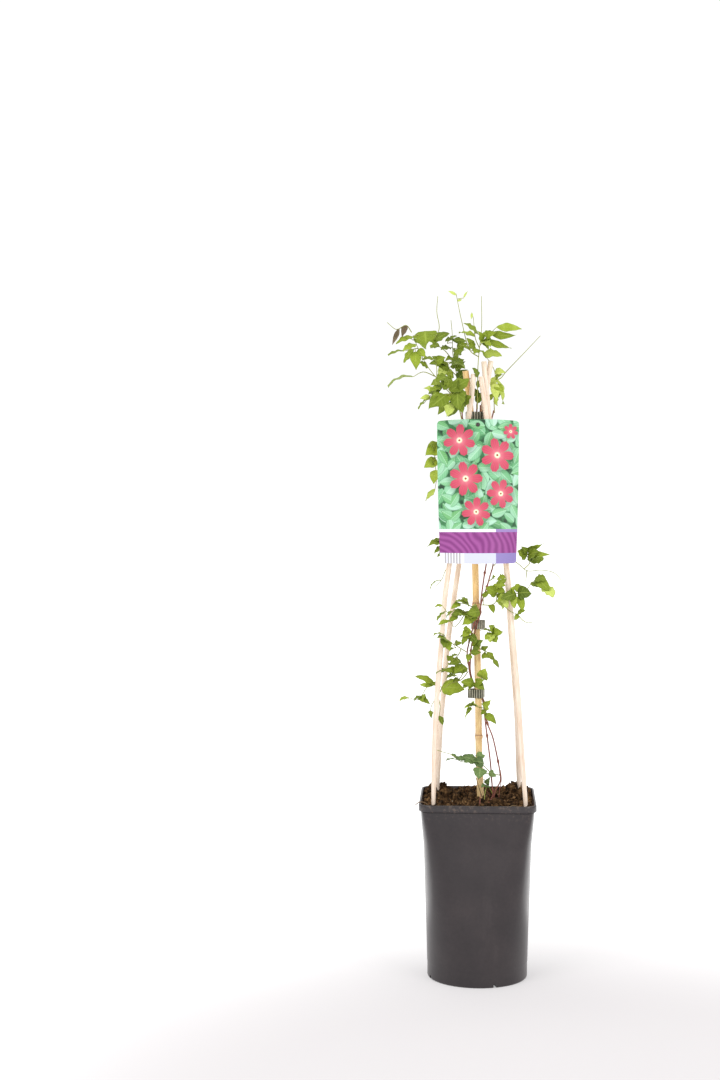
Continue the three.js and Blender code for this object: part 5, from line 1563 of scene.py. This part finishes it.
def makeVeinGroup():
    group, start, end = newShaderGroup("leafVeins", ("Pairs", "Slant"), ("Vein", "Margin"))
    spot = split(start["Place"])
    away = maths("ABSOLUTE", spot[0])
    rib = minus(1.0, step(away, 0.02, 0.12))
    slanted = minus(spot[1], times(away, start["Slant"]))
    ladder = maths("FRACT", times(slanted, start["Pairs"]))
    off = maths("ABSOLUTE", minus(ladder, 0.5))
    side = times(minus(1.0, step(off, 0.02, 0.14)), 0.55)
    link(maths("MAXIMUM", rib, side), end, "Vein")
    link(step(away, 0.8, 1.0), end, "Margin")
    return group


veinGroup = makeVeinGroup()


def leafSkin(name, shades, under, veinShade, roughness):
    material, tree, shader = newMaterial(name, roughness=roughness, Specular_IOR_Level=0.14)
    marked = ownPlace(tree, "leafPlace")
    tone = ownValue(tree, "tone")
    veins = addNode(tree, "ShaderNodeGroup", {"Place": marked, "Pairs": 5.0, "Slant": 0.32},
                    node_tree=veinGroup)
    blotch, fine = uneven(objectPlace(tree), 110, 900)
    toned = plus(tone, times(minus(blotch, 0.5), 0.55))
    colour = ramp(toned, (0.05, shades[0]), (0.4, shades[1]), (0.72, shades[2]), (1.0, shades[3]))
    colour = tint(colour, veins.outputs["Vein"], 0.4, veinShade)
    colour = tint(colour, veins.outputs["Margin"], 0.25, shades[0])
    face = split(marked)[2]
    colour = tint(colour, step(face, 0.2, -0.2), 0.65, under)
    link(maths("MULTIPLY_ADD", fine, 0.25, roughness - 0.12), shader, "Roughness")
    coat(shader, colour, minus(times(fine, 0.4), veins.outputs["Vein"]), 0.5, 0.0004)
    return material


def stalkSkin():
    material, tree, shader = newMaterial("stalkSkin", roughness=0.5, Specular_IOR_Level=0.2)
    spot = ownPlace(tree, "barPlace")
    streak = grain(spot, 1.5, 4, 0.6, (1, 1, 40))
    colour = ramp(streak, (0.3, (108, 112, 52)), (0.5, (146, 152, 74)), (0.7, (178, 178, 104)))
    coat(shader, colour, streak, 0.3, 0.0002)
    return material


bladeCollection = bpy.data.collections.new("blades")
for name, shape in bladeShapes.items():
    bladeCollection.objects.link(makeBlade(name, shape))
leafTree = makeLeafTree()
leafMaterial = leafSkin("leafSkin", ((84, 102, 34), (118, 136, 42), (148, 166, 52),
                        (198, 212, 112)), (160, 176, 104), (176, 192, 90), 0.55)
coolMaterial = leafSkin("coolSkin", ((84, 108, 62), (112, 136, 80), (142, 164, 98), (178, 196, 136)),
                        (150, 168, 116), (178, 194, 136), 0.55)
witheredMaterial = leafSkin("witheredSkin", ((74, 60, 44), (106, 92, 70), (136, 122, 98),
                            (164, 152, 128)), (140, 126, 104), (78, 64, 48), 0.75)
stalkMaterial = stalkSkin()
for name, spray in shoots.items():
    # the lowest shoots are the bluest
    skin = coolMaterial if name in coolSprays else leafMaterial
    mesh = makeSpray(name, spray, True, sprayTones[name], skin, stalkMaterial)
    newPiece("leaves_" + name, mesh, None, [name])
mesh = makeSpray("withered_leaf", witheredLeaf, False, 0.4, witheredMaterial, stalkMaterial)
newPiece("leaves_withered", mesh, None, ["withered_leaf"])
for blade in list(bladeCollection.objects):
    bpy.data.objects.remove(blade)
bpy.data.collections.remove(bladeCollection)
print("leaves made")


# a round pale floor that fades into the white of the studio

floor = {"radius": 14, "front": (0.12, -0.5, 0), "near": 0.35, "far": 1.1, "shade": (180, 176, 177),
         "glow": (0.36, 0.355, 0.357, 1)}


def makeFloor():
    rim = [(math.cos(t) * floor["radius"], math.sin(t) * floor["radius"], 0) for t in circleTurns(96)]
    mesh = bpy.data.meshes.new("floor")
    mesh.from_pydata(rim, [], [tuple(range(96))])
    ground = linked("floor", mesh)
    material, tree, shader = newMaterial("floorPaper", roughness=0.9, Specular_IOR_Level=0)
    spot = objectPlace(tree)
    away = addNode(tree, "ShaderNodeVectorMath", {0: spot, 1: floor["front"]},
                   operation="DISTANCE").outputs["Value"]
    fade = step(away, floor["near"], floor["far"])
    tone = grain(spot, 2.2, 3, 0.5)
    shade = mixed(times(tone, 0.3), floor["shade"], (190, 188, 189))
    link(mixed(fade, shade, (0.9, 0.9, 0.9, 1)), shader, "Base Color")
    link(mixed(fade, floor["glow"], (0.55, 0.55, 0.55, 1)), shader, "Emission Color")
    shader.inputs["Emission Strength"].default_value = 1
    mesh.materials.append(material)


makeFloor()


lamps = {"main": {"keyLight": ((-1.5, -2.0, 2.1), 24), "fillLight": ((1.7, -1.8, 1.4), 15.5)},
         "target": (0, 0, 0.35), "wide": 1.4, "stripSize": (0.24, 0.15), "stripPower": 0.14}


def softLight(name, spot, target, size, power):
    data = bpy.data.lights.new(name, "AREA")
    data.shape, data.energy = "RECTANGLE", power
    data.size, data.size_y = size
    light = linked(name, data)
    light.location = spot
    light.rotation_euler = (Vector(target) - Vector(spot)).to_track_quat("-Z", "Y").to_euler()
    return light


for name, (spot, power) in lamps["main"].items():
    softLight(name, spot, lamps["target"], (lamps["wide"], lamps["wide"]), power)
for side, name in ((-1, "leftStrip"), (1, "rightStrip")):
    # low bright strips beside the pot that only show as reflections on its rounded sides
    strip = softLight(name, (side * 0.22, 0.11, 0.08), (side * 0.06, 0.02, 0.08),
                      lamps["stripSize"], lamps["stripPower"])
    strip.visible_diffuse = False
    strip.visible_camera = False

# the studio is white wherever the camera looks, and lights the plant a little less
world = bpy.data.worlds.new("studio")
scene.world = world
world.use_nodes = True
studio = world.node_tree
surround = studio.nodes["Background"]
surround.inputs["Color"].default_value = (1, 1, 1, 1)
seen = addNode(studio, "ShaderNodeLightPath").outputs["Is Camera Ray"]
strength = mixed(seen, 0.95, 1.05, "FLOAT")
link(strength, surround, "Strength")

shot = {"lens": 61.67, "spot": (0, -2.1749, 0.605), "tilt": 87.65, "turn": 3.66}
camera = bpy.data.cameras.new("camera")
camera.lens = shot["lens"]
view = linked("camera", camera)
view.location = shot["spot"]
view.rotation_euler = (math.radians(shot["tilt"]), 0, math.radians(shot["turn"]))
scene.camera = view
scene.view_settings.view_transform = "Standard"
